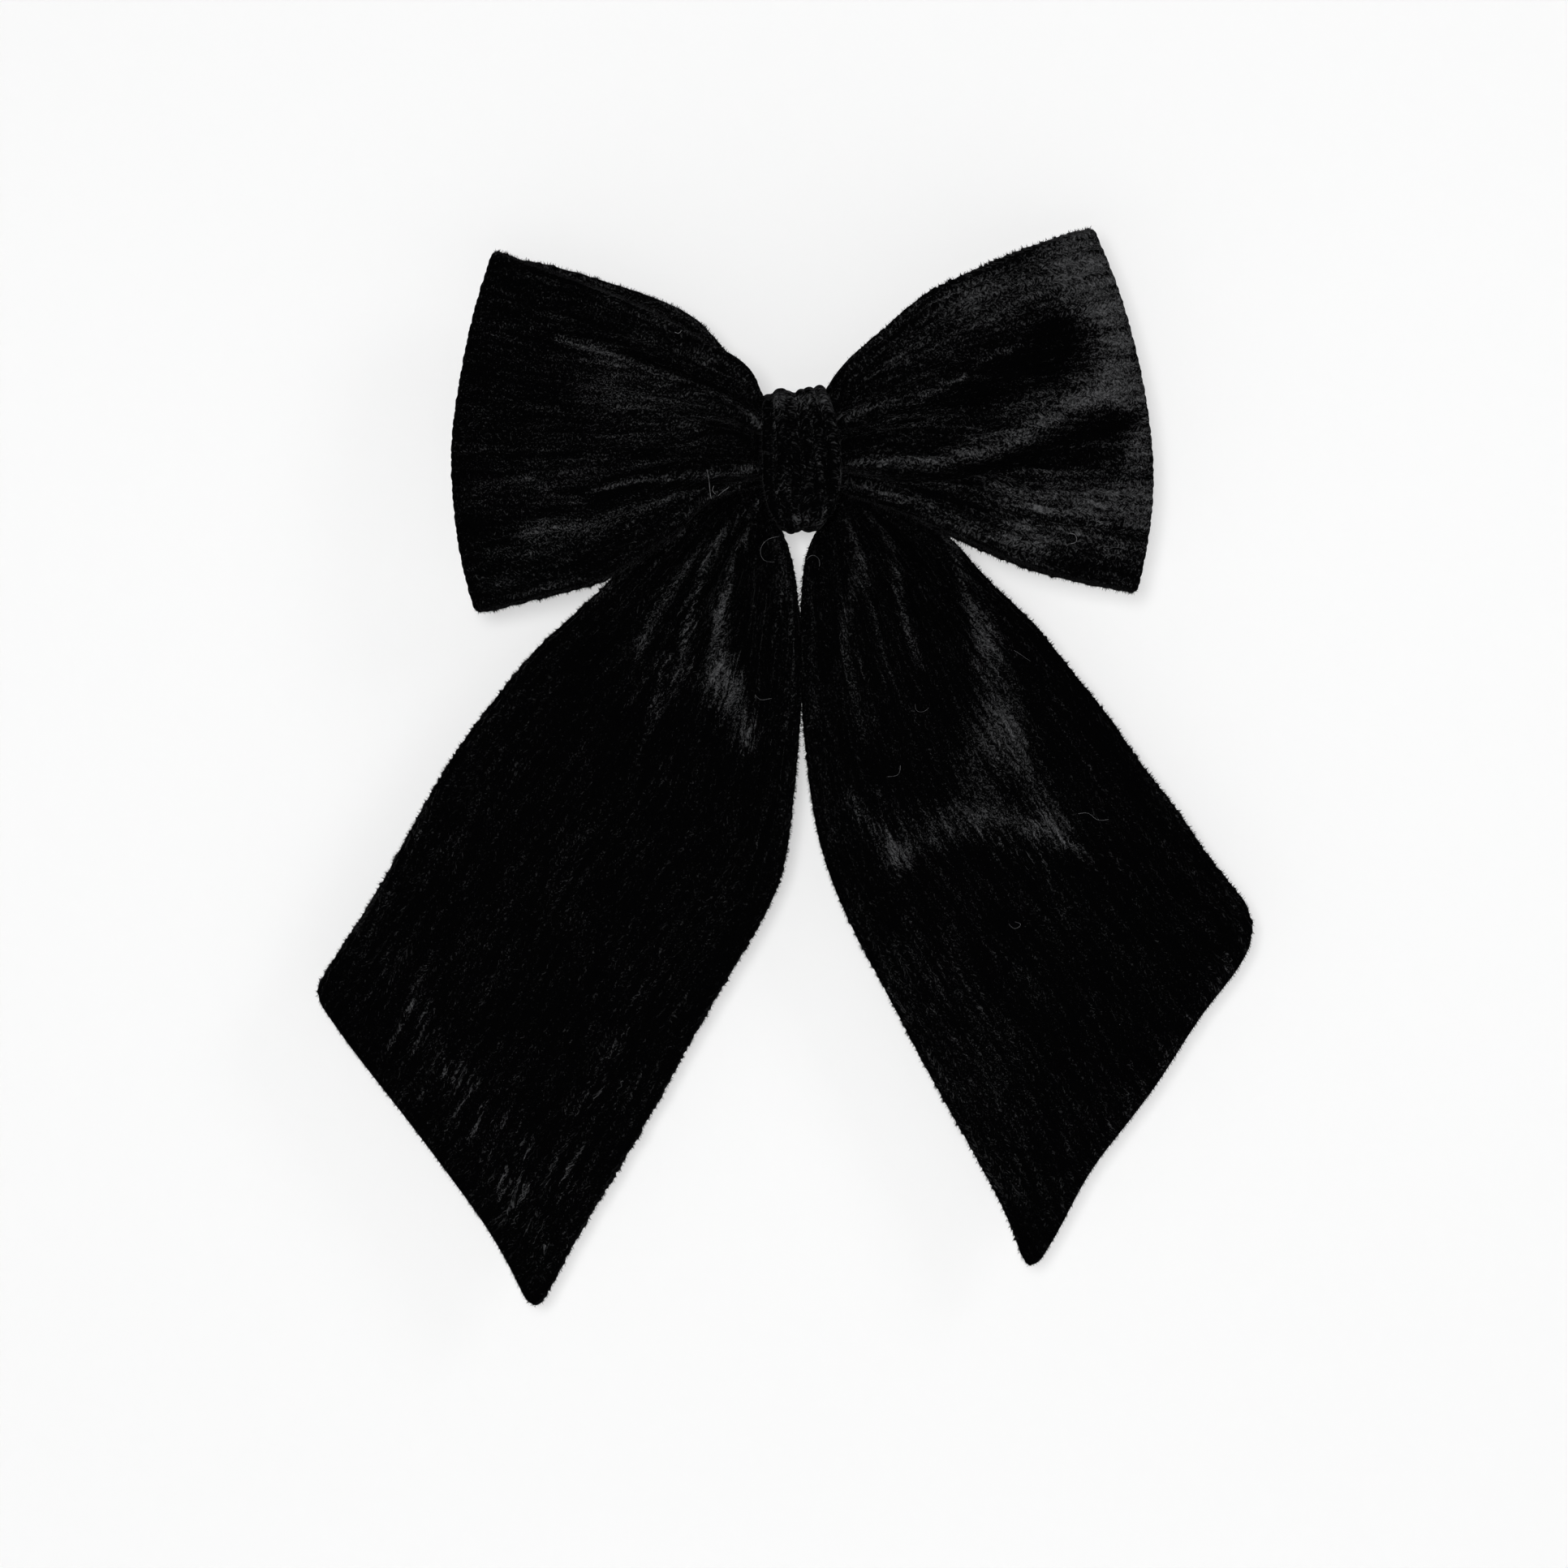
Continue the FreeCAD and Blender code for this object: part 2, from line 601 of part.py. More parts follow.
# Above the swing line each tail narrows to its gathered root in the knot.
LEFT_ROOT = {
    "outer": [(-7.5, -4.6), (-26.5, -15.5), (-45.0, -28.6)],
    "inner": [(-1.6, -28.6), (-3.2, -22.5), (-6.0, -16.6)],
}
RIGHT_ROOT = {
    "outer": [(7.5, -4.6), (28.5, -15.0), (44.0, -28.6)],
    "inner": [(0.1, -28.6), (1.6, -22.5), (6.0, -16.6)],
}


def prism(edges, y_low, y_high):
    """A solid from a closed outline in the XZ plane, between two depths."""
    wire = Part.Wire(Part.__sortEdges__(edges))
    face = Part.Face(wire)
    face.translate(V(0, y_low, 0))
    return face.extrude(V(0, y_high - y_low, 0))


def in_xz(points):
    return [(x, 0, z) for x, z in points]


def straight(a, b):
    """A straight edge between two places given as x and z."""
    return Part.LineSegment(V(a[0], 0, a[1]), V(b[0], 0, b[1])).toShape()


def loop_ring(side, fold):
    """One loop as a ring of velvet tube standing on edge, closed along its outer fold."""
    tall = 120.0
    thick = dim("tube_thick")

    def flat(points):
        return [(side * x, -y, 0) for x, y in points]

    front, nose, back = (spline(flat(p)) for p in (LOOP_FRONT, LOOP_NOSE, LOOP_BACK))
    waist = Part.LineSegment(V(*flat(LOOP_BACK)[-1]), V(*flat(LOOP_FRONT)[0])).toShape()
    outside = Part.Face(Part.Wire(Part.__sortEdges__([front, nose, back, waist])))
    curve = Part.BSplineCurve()
    curve.interpolate([V(*p) for p in flat(LOOP_HOLLOW)], PeriodicFlag=True)
    hollow = Part.Face(Part.Wire(curve.toShape()))
    solids = []
    for face in (outside, hollow):
        face.translate(V(0, 0, -tall / 2))
        solids.append(face.extrude(V(0, 0, tall)))
    inner_fold = [(x - side * thick, z) for x, z in fold]
    ends = [straight(fold[i], inner_fold[i]) for i in (0, -1)]
    band = prism([spline(in_xz(fold)), spline(in_xz(inner_fold)), *ends], -40, 0)
    return solids[0].cut(solids[1]).fuse(solids[0].common(band))


def make_loop_band():
    """Both loops and the tied waist between them: one strip of velvet tube."""
    halves = []
    for side, outline in ((-1, LEFT_LOOP), (1, RIGHT_LOOP)):
        edges = [spline(in_xz(outline[name])) for name in ("top", "fold", "bottom")]
        edges.append(straight(outline["bottom"][-1], outline["top"][0]))
        halves.append(loop_ring(side, outline["fold"]).common(prism(edges, -40, 0)))
    half, low, high = dim("waist_half"), -dim("waist_bottom"), dim("waist_top")
    front, back = -dim("waist_front"), -dim("waist_back")
    waist = Part.makeBox(2 * half, back - front, high - low, V(-half, front, low))
    band = waist.fuse(halves).removeSplitter()
    return add_feature("loop_band", band)


def tail_slab(outline):
    """The swinging part of one tail: a flat tube with a rolled top edge on the swing line."""
    outer, tip, inner = outline["outer"], outline["tip"], outline["inner"]
    top = -dim("swing_drop")
    edges = [spline(in_xz(outer)), spline(in_xz(inner))]
    edges += [straight(outer[-1], tip), straight(tip, inner[0]), straight(inner[-1], outer[0])]
    half = dim("tail_thick") / 2
    middle = -dim("tail_plane")
    slab = prism(edges, middle - half, middle + half)
    for (x, z), radius in zip((outer[-1], tip), outline["radii"]):
        spot = V(x, middle, z)
        corner = min(slab.Edges, key=lambda e: (e.CenterOfMass - spot).Length)
        slab = slab.makeFillet(radius, [corner])
    span = sorted((outer[0][0], inner[-1][0]))
    roll = Part.makeCylinder(half, span[1] - span[0], V(span[0], middle, top), V(1, 0, 0))
    return slab.fuse(roll).removeSplitter()


def make_tails():
    add_feature("tail_left", tail_slab(LEFT_TAIL))
    add_feature("tail_right", tail_slab(RIGHT_TAIL))


def make_tail_fold():
    """The folded, gathered middle of the tail strip, down to the swing line."""
    half, middle = dim("tail_thick") / 2, -dim("tail_plane")
    bottom = -dim("swing_drop") + half + dim("swing_gap")
    edges = []
    for root in (LEFT_ROOT, RIGHT_ROOT):
        outer = root["outer"][:-1] + [(root["outer"][-1][0], bottom)]
        inner = [(root["inner"][0][0], bottom)] + root["inner"][1:]
        edges += [spline(in_xz(outer)), spline(in_xz(inner))]
        edges.append(straight(outer[-1], inner[0]))
    crown, crotch = dim("strip_crown"), -dim("strip_crotch")
    neck, parting = 6.2, 5.6
    over = [LEFT_ROOT["outer"][0], (-neck, crown), (neck, crown), RIGHT_ROOT["outer"][0]]
    under = [LEFT_ROOT["inner"][-1], (-parting, crotch), (parting, crotch), RIGHT_ROOT["inner"][-1]]
    for points in (over, under):
        edges += [straight(a, b) for a, b in zip(points, points[1:])]
    add_feature("tail_fold", prism(edges, middle - half, middle + half))


def ring_path(low_y, high_y, low_z, high_z, corner):
    """A closed path round a rectangle in the YZ plane at x = 0, with round corners."""
    spots = [(low_y, low_z), (high_y, low_z), (high_y, high_z), (low_y, high_z)]
    turns = []
    for i, (y, z) in enumerate(spots):
        y_before, z_before = spots[i - 1]
        y_after, z_after = spots[(i + 1) % 4]
        here = V(0, y, z)
        back = (V(0, y_before, z_before) - here).normalize() * corner
        ahead = (V(0, y_after, z_after) - here).normalize() * corner
        middle = here + (back + ahead) * (1 - math.sqrt(0.5))
        turns.append((here + back, middle, here + ahead))
    edges = []
    for i, (start, middle, stop) in enumerate(turns):
        edges.append(Part.Arc(start, middle, stop).toShape())
        edges.append(Part.LineSegment(stop, turns[(i + 1) % 4][0]).toShape())
    return Part.Wire(edges)


def thread_turns(low_y, high_y, low_z, high_z, turns):
    """Turns of thread round a box in the YZ plane, side by side along X, each a closed ring."""
    radius, pitch = dim("thread_radius"), dim("thread_pitch")
    clear, corner = 0.1, 0.45
    gap = radius + clear
    rings = []
    for i in range(turns):
        path = ring_path(low_y - gap, high_y + gap, low_z - gap, high_z + gap, corner)
        start = path.Edges[0].Vertexes[0].Point
        section = Part.Wire(Part.makeCircle(radius, start, path.Edges[0].tangentAt(0)))
        ring = path.makePipeShell([section], True, False)
        ring.translate(V((i - (turns - 1) / 2) * pitch, 0, 0))
        rings.append(ring)
    return Part.makeCompound(rings)


def make_gather_threads():
    """Thread wound round the loops' waist, and round the neck of the tail strip."""
    waist = thread_turns(
        -dim("waist_front"),
        -dim("waist_back"),
        -dim("waist_bottom"),
        dim("waist_top"),
        int(dim("waist_turns")),
    )
    add_feature("loop_gather_thread", waist)
    half, middle, neck = dim("tail_thick") / 2, -dim("tail_plane"), dim("neck_half")
    wound = thread_turns(middle - half, middle + half, -neck, neck, int(dim("neck_turns")))
    wound.rotate(V(0, 0, 0), V(0, 1, 0), 90)
    wound.translate(V(0, 0, dim("neck_height")))
    add_feature("tail_gather_thread", wound)


def knot_back():
    """The knot band's face behind the plate, inside the hair channel."""
    return dim("knot_slack") + dim("knot_wall") - dim("plate_rise")


def make_knot_band():
    """The pleated band round loops, tails and plate, narrower where the tails leave it."""
    body = add_body("knot_band")
    wall, taper = dim("knot_wall"), -dim("knot_taper")
    front, low, high = -dim("knot_front"), -dim("knot_bottom"), dim("knot_top")
    back = knot_back()
    profile = add_sketch(body, "YZ_Plane", "band_ring")
    for inset, corner in ((0.0, dim("knot_corner")), (wall, dim("knot_corner") - wall)):
        outline = ring_path(front + inset, back - inset, low + inset, high - inset, corner)
        for edge in outline.Edges:
            a, b = edge.Vertexes[0].Point, edge.Vertexes[-1].Point
            middle = edge.valueAt((edge.FirstParameter + edge.LastParameter) / 2)
            if edge.Curve.TypeId == "Part::GeomLine":
                piece = Part.LineSegment(V(a.y, a.z, 0), V(b.y, b.z, 0))
            else:
                piece = Part.Arc(V(a.y, a.z, 0), V(middle.y, middle.z, 0), V(b.y, b.z, 0))
            profile.addGeometry(piece, False)
        join_ends(profile, len(outline.Edges))
    pad(body, profile, "band", "Dims.knot_width", middle=True)
    half, foot, waste = dim("knot_width") / 2, dim("knot_foot_width") / 2, 5.0
    for side, name in ((-1, "left"), (1, "right")):
        cut = add_sketch(body, "XZ_Plane", f"foot_cut_{name}")
        draw_polygon(
            cut,
            [
                (side * half, taper),
                (side * foot, low),
                (side * foot, low - waste),
                (side * (half + waste), low - waste),
                (side * (half + waste), taper),
            ],
        )
        pocket_through(body, cut, f"band_foot_{name}")
    return body


def capsule(a, b, radius):
    """A stitch: a short rod with round ends."""
    rod = Part.makeCylinder(radius, (b - a).Length, a, b - a)
    return rod.fuse([Part.makeSphere(radius, a), Part.makeSphere(radius, b)]).removeSplitter()


def make_knot_stitches():
    """Two rows of slanting stitches that close the knot band behind the plate."""
    radius = dim("stitch_radius")
    y = knot_back() + radius + dim("head_seat")
    left, right, rise = 0.7, 2.6, 0.35
    first, pitch, count = 5.4, 1.25, 5
    made = []
    for side in (-1, 1):
        for i in range(count):
            z = side * (first + pitch * i)
            made.append(capsule(V(left, y, z - rise), V(right, y, z + rise), radius))
    add_feature("knot_stitches", Part.makeCompound(made))


def make_loop_join_stitches():
    """A column of stitches that joins the loop band's ends behind the waist."""
    radius = dim("stitch_radius")
    y = radius + dim("head_seat") - dim("waist_back")
    left, right, rise = -2.7, -2.05, 0.5
    first, pitch, count = -3.5, 2.8, 6
    made = []
    for i in range(count):
        z = first + pitch * i
        made.append(capsule(V(left, y, z - rise), V(right, y, z + rise), radius))
    add_feature("loop_join_stitches", Part.makeCompound(made))


# ---------------------------------------------------------------- build

make_base_plate()
make_tension_bar()
make_clasp_arm()
make_hinge_pin()
make_catch_foot()
make_catch_wing("catch_wing_upper", 1)
make_catch_wing("catch_wing_lower", -1)
make_catch_rivet()
make_loop_band()
make_tails()
make_tail_fold()
make_gather_threads()
make_knot_band()
make_knot_stitches()
make_loop_join_stitches()
doc.recompute()

for item in doc.Objects:
    if "Invalid" in item.State or "Error" in item.State:
        raise RuntimeError(f"{item.Name} failed: {item.State}")

PIECES = [o for o in doc.Objects if o.TypeId in ("PartDesign::Body", "Part::Feature")]
os.makedirs("parts", exist_ok=True)
for item in PIECES:
    shape = item.Shape
    if item.Label == "base_plate":
        shape = drill_rivet_hole(shape)
    if shape.isNull() or not shape.isValid() or shape.Volume <= 0:
        raise RuntimeError(f"{item.Label} has no valid shape")
    shape.exportStep(os.path.join("parts", item.Label + ".step"))
    box = shape.BoundBox
    print(
        f"{item.Label:22s} solids {len(shape.Solids)} volume {shape.Volume:9.2f}  "
        f"x {box.XMin:7.2f} {box.XMax:7.2f}  y {box.YMin:7.2f} {box.YMax:7.2f}  "
        f"z {box.ZMin:7.2f} {box.ZMax:7.2f}"
    )
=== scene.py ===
"""Black velvet hair bow on a French barrette, seen from the front, in metres.

Each velvet tube is a closed shell laid along its own ribbon directions: along runs the way
the ribbon was cut and across goes from edge to edge. Outlines and creases are in millimetres,
x to the right and z up from the middle of the barrette, as someone facing the bow sees them.
"""

import math

import bpy
import numpy as np
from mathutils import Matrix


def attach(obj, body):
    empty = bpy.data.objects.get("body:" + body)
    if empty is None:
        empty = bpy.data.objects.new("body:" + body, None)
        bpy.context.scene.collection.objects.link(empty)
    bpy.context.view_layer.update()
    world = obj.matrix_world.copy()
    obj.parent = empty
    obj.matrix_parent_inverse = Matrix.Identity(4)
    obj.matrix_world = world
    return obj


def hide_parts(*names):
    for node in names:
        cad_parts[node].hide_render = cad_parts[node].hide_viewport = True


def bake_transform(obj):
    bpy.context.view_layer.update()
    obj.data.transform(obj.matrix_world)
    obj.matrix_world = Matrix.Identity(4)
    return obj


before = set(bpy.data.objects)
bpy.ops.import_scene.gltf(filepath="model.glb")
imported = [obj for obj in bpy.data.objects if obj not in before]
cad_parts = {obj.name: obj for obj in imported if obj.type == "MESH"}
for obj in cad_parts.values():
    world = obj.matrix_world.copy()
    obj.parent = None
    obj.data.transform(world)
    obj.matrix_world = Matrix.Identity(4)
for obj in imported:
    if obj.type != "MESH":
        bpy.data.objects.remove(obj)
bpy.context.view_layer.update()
MM = 0.001

# ---------------------------------------------------------------- smooth lines


class Line:
    """A smooth line through given points, read by its share of the way along."""

    def __init__(self, points):
        self.p = np.array(points, float)
        step = np.linalg.norm(np.diff(self.p, axis=0), axis=1)
        self.t = np.r_[0, np.cumsum(step)] / step.sum()
        self.bend = self._bends()

    def _bends(self):
        """Second derivatives of the natural cubic spline."""
        n = len(self.p)
        gap = np.diff(self.t)
        matrix, right = np.eye(n), np.zeros_like(self.p)
        for i in range(1, n - 1):
            matrix[i, i - 1 : i + 2] = gap[i - 1], 2 * (gap[i - 1] + gap[i]), gap[i]
            slope = (self.p[i + 1] - self.p[i]) / gap[i] - (self.p[i] - self.p[i - 1]) / gap[i - 1]
            right[i] = 6 * slope
        return np.linalg.solve(matrix, right)

    def at(self, t):
        t = np.clip(np.asarray(t, float), 0, 1)
        i = np.clip(np.searchsorted(self.t, t, side="right") - 1, 0, len(self.t) - 2)
        gap = (self.t[i + 1] - self.t[i])[..., None]
        b = (t - self.t[i])[..., None] / gap
        a = 1 - b
        bend = ((a**3 - a) * self.bend[i] + (b**3 - b) * self.bend[i + 1]) * gap**2 / 6
        return a * self.p[i] + b * self.p[i + 1] + bend


def ease(a, b, x):
    """0 before a, 1 after b, and smooth between."""
    t = np.clip((x - a) / (b - a), 0, 1)
    return t * t * (3 - 2 * t)


def wander(x, period, seed):
    """A smooth random wave of x between about -1 and 1."""
    source = np.random.default_rng(seed)
    total = np.zeros_like(x, float)
    for i, phase in enumerate(source.uniform(0, 2 * math.pi, 5)):
        total += np.sin(2 * math.pi * x / period * (0.6 + 0.37 * i) + phase) / 2.2
    return total


def soft_marks(x, z, marks):
    """Sum of soft strokes over places x, z in mm. A mark is its points, its half widths at
    both ends and its strengths at both ends."""
    total = np.zeros_like(x)
    place = np.stack([x.ravel(), z.ravel()], 1)
    for points, (width_a, width_b), (strong_a, strong_b) in marks:
        share = np.linspace(0, 1, 48)
        line = Line(points).at(share)
        away = np.linalg.norm(place[:, None] - line[None], axis=2)
        nearest = away.argmin(1)
        t = share[nearest]
        width = width_a + (width_b - width_a) * t
        strong = strong_a + (strong_b - strong_a) * t
        total += (strong * np.exp(-((away.min(1) / width) ** 2))).reshape(x.shape)
    return total


# How far apart the streaks of brushed pile are, in mm.
STREAK_PERIOD = 2.2


def combed(x, z, across, reach, period, seed):
    """Places shifted along the ribbon's grain, by a different length from one streak of pile to
    the next, so that a painted highlight or shade mark gets the ragged ends of brushed velvet."""
    way_x, way_z = np.gradient(x, axis=0), np.gradient(z, axis=0)
    length = np.maximum(np.hypot(way_x, way_z), 1e-9)
    shift = reach * wander(across, period, seed)
    return x + way_x / length * shift, z + way_z / length * shift


# ---------------------------------------------------------------- shells

# Half the thickness of a velvet tube, in mm, and over how many times that its edges roll in.
HALF_THICK = 1.05
EDGE_ROLL = 2.2


def normals_of(grid):
    along = np.gradient(grid, axis=0)
    across = np.gradient(grid, axis=1)
    normal = np.cross(along, across)
    return normal / np.maximum(np.linalg.norm(normal, axis=2, keepdims=True), 1e-12)


def closed_shell(grid, half):
    """Points and faces of a flat tube: two layers half apart on each side of a grid of places,
    rolled together at both long edges and at the ends."""
    rows, columns = grid.shape[:2]
    normal = normals_of(grid)
    v = np.linspace(-1, 1, columns)
    width = np.linalg.norm(np.diff(grid, axis=1), axis=2).sum(1)
    from_edge = (1 - np.abs(v))[None] * width[:, None] / 2
    length = np.linalg.norm(np.diff(grid, axis=0), axis=2).sum(0)
    from_end = np.minimum(
        np.linspace(0, 1, rows)[:, None] * length[None],
        np.linspace(1, 0, rows)[:, None] * length[None],
    )
    near = np.minimum(from_edge, from_end)
    roll = np.sqrt(1 - (1 - np.clip(near / (EDGE_ROLL * half), 0, 1)) ** 2)
    offset = normal * (half * roll)[..., None]
    front, back = grid + offset, grid - offset
    index_front = np.arange(rows * columns).reshape(rows, columns)
    index_back = index_front.copy()
    inner = index_back[1:-1, 1:-1]
    inner[:] = np.arange(inner.size).reshape(inner.shape) + rows * columns
    points = np.concatenate([front.reshape(-1, 3), back[1:-1, 1:-1].reshape(-1, 3)])
    faces = []
    for index, turn in ((index_front, False), (index_back, True)):
        quad = [index[:-1, :-1], index[1:, :-1], index[1:, 1:], index[:-1, 1:]]
        quad = np.stack([q.ravel() for q in quad], 1)
        faces.append(quad[:, ::-1] if turn else quad)
    return points, np.concatenate(faces)


def spread_to_shell(values, rows, columns):
    """A value for each place of the grid, repeated for the back layer's points."""
    values = values.reshape(rows, columns, -1)
    tail = values[1:-1, 1:-1].reshape(-1, values.shape[2])
    return np.concatenate([values.reshape(-1, values.shape[2]), tail])


def new_mesh(name, points, faces, facts=None):
    """A mesh object from places in metres. facts are the point attributes: name to values."""
    mesh = bpy.data.meshes.new(name)
    mesh.from_pydata(points.tolist(), [], faces.tolist())
    mesh.update()
    mesh.polygons.foreach_set("use_smooth", np.ones(len(mesh.polygons), bool))
    for fact, values in (facts or {}).items():
        kind = "FLOAT" if values.shape[1] == 1 else "FLOAT_VECTOR"
        attribute = mesh.attributes.new(fact, kind, "POINT")
        key = "value" if kind == "FLOAT" else "vector"
        attribute.data.foreach_set(key, values.astype(np.float32).ravel())
    obj = bpy.data.objects.new(name, mesh)
    bpy.context.scene.collection.objects.link(obj)
    return obj


def ribbon_places(grid):
    """How far each place is along and across its ribbon, in metres, as a vector."""
    along = np.linalg.norm(np.diff(grid, axis=0), axis=2)
    along = np.concatenate([np.zeros((1, grid.shape[1])), along.cumsum(0)])
    across = np.linalg.norm(np.diff(grid, axis=1), axis=2)
    across = np.concatenate([np.zeros((grid.shape[0], 1)), across.cumsum(1)], 1)
    width = np.median(across[:, -1])
    share = across / np.maximum(across[:, -1:], 1e-9)
    return np.stack([along, share * width, np.zeros_like(along)], 2)


# ---------------------------------------------------------------- pile

# The fringe: length of its fibres and half their width in metres, and how many there are.
PILE_LENGTH = 0.00085
PILE_HALF_WIDTH = 0.00007
PILE_PER_METRE = 14000


def pile_fringe(name, roots, outward, lean, seed):
    """Short velvet fibres as thin upright triangles. roots, outward and lean are one row per
    fibre, in metres and unit directions."""
    source = np.random.default_rng(seed)
    count = len(roots)
    tip_way = outward + lean * source.uniform(-0.5, 0.5, (count, 1))
    tip_way += source.normal(0, 0.22, (count, 3))
    tip_way /= np.linalg.norm(tip_way, axis=1, keepdims=True)
    side = np.cross(tip_way, source.normal(0, 1, (count, 3)))
    side /= np.maximum(np.linalg.norm(side, axis=1, keepdims=True), 1e-9)
    size = PILE_LENGTH * source.uniform(0.45, 1.15, (count, 1))
    side *= PILE_HALF_WIDTH
    points = np.concatenate([roots - side, roots + side, roots + tip_way * size])
    first = np.arange(count)
    return new_mesh(name, points, np.stack([first, first + count, first + 2 * count], 1))


def edge_pile(name, grid, half, seed, with_end=False):
    """A fringe of pile round the edges of a ribbon's grid."""
    source = np.random.default_rng(seed)
    normal = normals_of(grid)
    lines = [(grid[:, 0], grid[:, 0] - grid[:, 2], normal[:, 0])]
    lines.append((grid[:, -1], grid[:, -1] - grid[:, -3], normal[:, -1]))
    if with_end:
        lines.append((grid[-1], grid[-1] - grid[-3], normal[-1]))
    roots, outward, lean = [], [], []
    for line, out, up in lines:
        out = out / np.maximum(np.linalg.norm(out, axis=1, keepdims=True), 1e-12)
        step = np.linalg.norm(np.diff(line, axis=0), axis=1)
        way = np.r_[0, step.cumsum()]
        count = int(way[-1] * PILE_PER_METRE)
        spot = source.uniform(0, way[-1], count)
        tilt = source.uniform(-1, 1, (count, 1))
        at = [np.stack([np.interp(spot, way, a[:, k]) for k in range(3)], 1) for a in (line, out, up)]
        angle = tilt * math.pi / 2
        away = at[1] * np.cos(angle) + at[2] * np.sin(angle)
        roots.append(at[0] - at[1] * half * 0.6 + away * half * 0.55)
        outward.append(away)
        tangent = np.gradient(line, axis=0)
        tangent /= np.maximum(np.linalg.norm(tangent, axis=1, keepdims=True), 1e-12)
        lean.append(np.stack([np.interp(spot, way, tangent[:, k]) for k in range(3)], 1))
    return pile_fringe(name, np.concatenate(roots), np.concatenate(outward), np.concatenate(lean), seed)


# ---------------------------------------------------------------- loops

# Outlines of the loops: bottom and top edges run from the knot outwards.
LOOPS = {
    "left": {
        "bottom": [(-1, -3.6), (-8.8, -5.7), (-20.6, -9.4), (-26.8, -15.4), (-34.9, -21.6),
                   (-42.3, -26.0), (-50.7, -28.6), (-60, -30.9), (-69.7, -33.0)],
        "top": [(-1, 9.5), (-9.4, 14.2), (-11.1, 18.2), (-14.1, 21.2), (-19.2, 24.0), (-28, 28.9),
                (-37.5, 33.6), (-47, 37.4), (-57, 41.3), (-65.8, 45.0)],
        "back_top": [(-1, 9.5), (-9.4, 13.8), (-13.6, 19.6), (-18.2, 25.6), (-22.0, 29.8),
                     (-28.5, 33.8), (-37.5, 37.2), (-47.2, 40.2), (-57, 42.9), (-65.8, 45.0)],
        "fold": [(-69.7, -33.0), (-72.6, -22), (-74.5, -8), (-74.8, 2.6), (-73.2, 16), (-69.6, 33),
                 (-65.8, 45.0)],
    },
    "right": {
        "bottom": [(1, -4.2), (9.0, -7.1), (16.0, -9.6), (24.3, -13.0), (30.6, -15.9),
                   (37.3, -18.9), (45.2, -22.3), (52.3, -24.7), (61, -26.8), (71.5, -28.8)],
        "top": [(1, 9.0), (5.6, 14.8), (7.8, 18.0), (12.5, 23.0), (18.8, 28.4), (25.5, 34.2),
                (35.7, 39.5), (47.4, 44.8), (62.0, 49.9)],
        "back_top": [(1, 9.0), (5.8, 14.6), (8.6, 17.8), (13.4, 22.8), (19.6, 28.1), (26.5, 33.8),
                     (36.7, 39.2), (48, 44.4), (62.0, 49.9)],
        "fold": [(71.5, -28.8), (73.4, -20), (75.0, -5.7), (74.2, 7.8), (71.2, 23.7), (66.4, 39.5),
                 (62.0, 49.9)],
    },
}
# Width of the loops' tube, in mm.
LOOP_WIDTH = 78
# A loop's section seen from above, in mm: how far out from the knot, then depth.
LOOP_REACH = 75.0
LOOP_SECTION = [(0.0, -17.2), (7.5, -18.8), (16, -22.3), (31, -25.4), (50, -24.6), (64, -20.9),
                (72.4, -17.6), (75.0, -14.8), (72.4, -12.7), (64, -12.2), (50, -11.9),
                (31, -11.8), (16, -12.1), (7.5, -13.0), (0.0, -13.6)]
# The front leaf's share of the section, and of the mesh's rows.
FRONT_SHARE = 0.51
FRONT_ROWS = 0.68
# The loops stay in front of this depth, in mm, clear of the tail strip behind them.
LOOP_LIMIT = -11.35
# Creases of the front leaves: points, half widths and heights at both ends, + towards the viewer.
LOOP_CREASES = {
    "right": [
        ([(9, 7.8), (21.5, 11.9), (34, 17), (50, 25.5)], (1.3, 4.0), (1.7, 0.7)),
        ([(9, 5.0), (24, 9.0), (38, 15.0), (57, 23.5)], (1.3, 5.5), (-1.9, -2.0)),
        ([(9, -0.6), (25, -2.0), (37.3, 0.4), (51.4, 7.8), (66, 16)], (1.4, 5.0), (1.9, 1.5)),
        ([(9, -3.2), (30, -5.2), (44, -2.0), (57, 3.2), (73, 7.5)], (1.2, 3.6), (-1.8, -1.7)),
        ([(10, -2.8), (23.2, -7.4), (37.3, -14.2)], (0.9, 3.0), (-1.4, -0.5)),
        ([(9, 12), (18, 20.5), (34, 29)], (1.2, 3.5), (-1.3, -0.4)),
        ([(9, 2.6), (22, 3.4), (38, 7.4)], (1.0, 3.0), (1.0, 0.6)),
        ([(40, -9), (56, -10.5), (73, -12)], (2.5, 3.5), (0.3, 0.9)),
    ],
    "left": [
        ([(-9, 7.2), (-24.3, 13.8), (-34.9, 18.8), (-52, 23.6)], (1.1, 3.5), (1.8, 0.6)),
        ([(-9, 4.8), (-24, 9.4), (-42, 13.5), (-60, 16)], (1.2, 4.5), (-1.6, -0.8)),
        ([(-9, 10.4), (-20, 17.6), (-36, 25.0)], (1.1, 3.5), (-1.5, -0.6)),
        ([(-9, -2.4), (-14.6, -2.5), (-30.6, -4.8), (-44, -8.4)], (1.1, 3.0), (1.7, 0.7)),
        ([(-9, -4.4), (-18, -5.4), (-30, -8.6), (-44, -13.0)], (1.0, 3.4), (-1.9, -0.9)),
        ([(-9, 1.2), (-28, 2.6), (-60, 1.0)], (1.2, 4.0), (-1.0, -0.5)),
        ([(-12, -5.6), (-26, -12), (-40, -20)], (0.9, 3.0), (0.9, 0.4)),
    ],
}
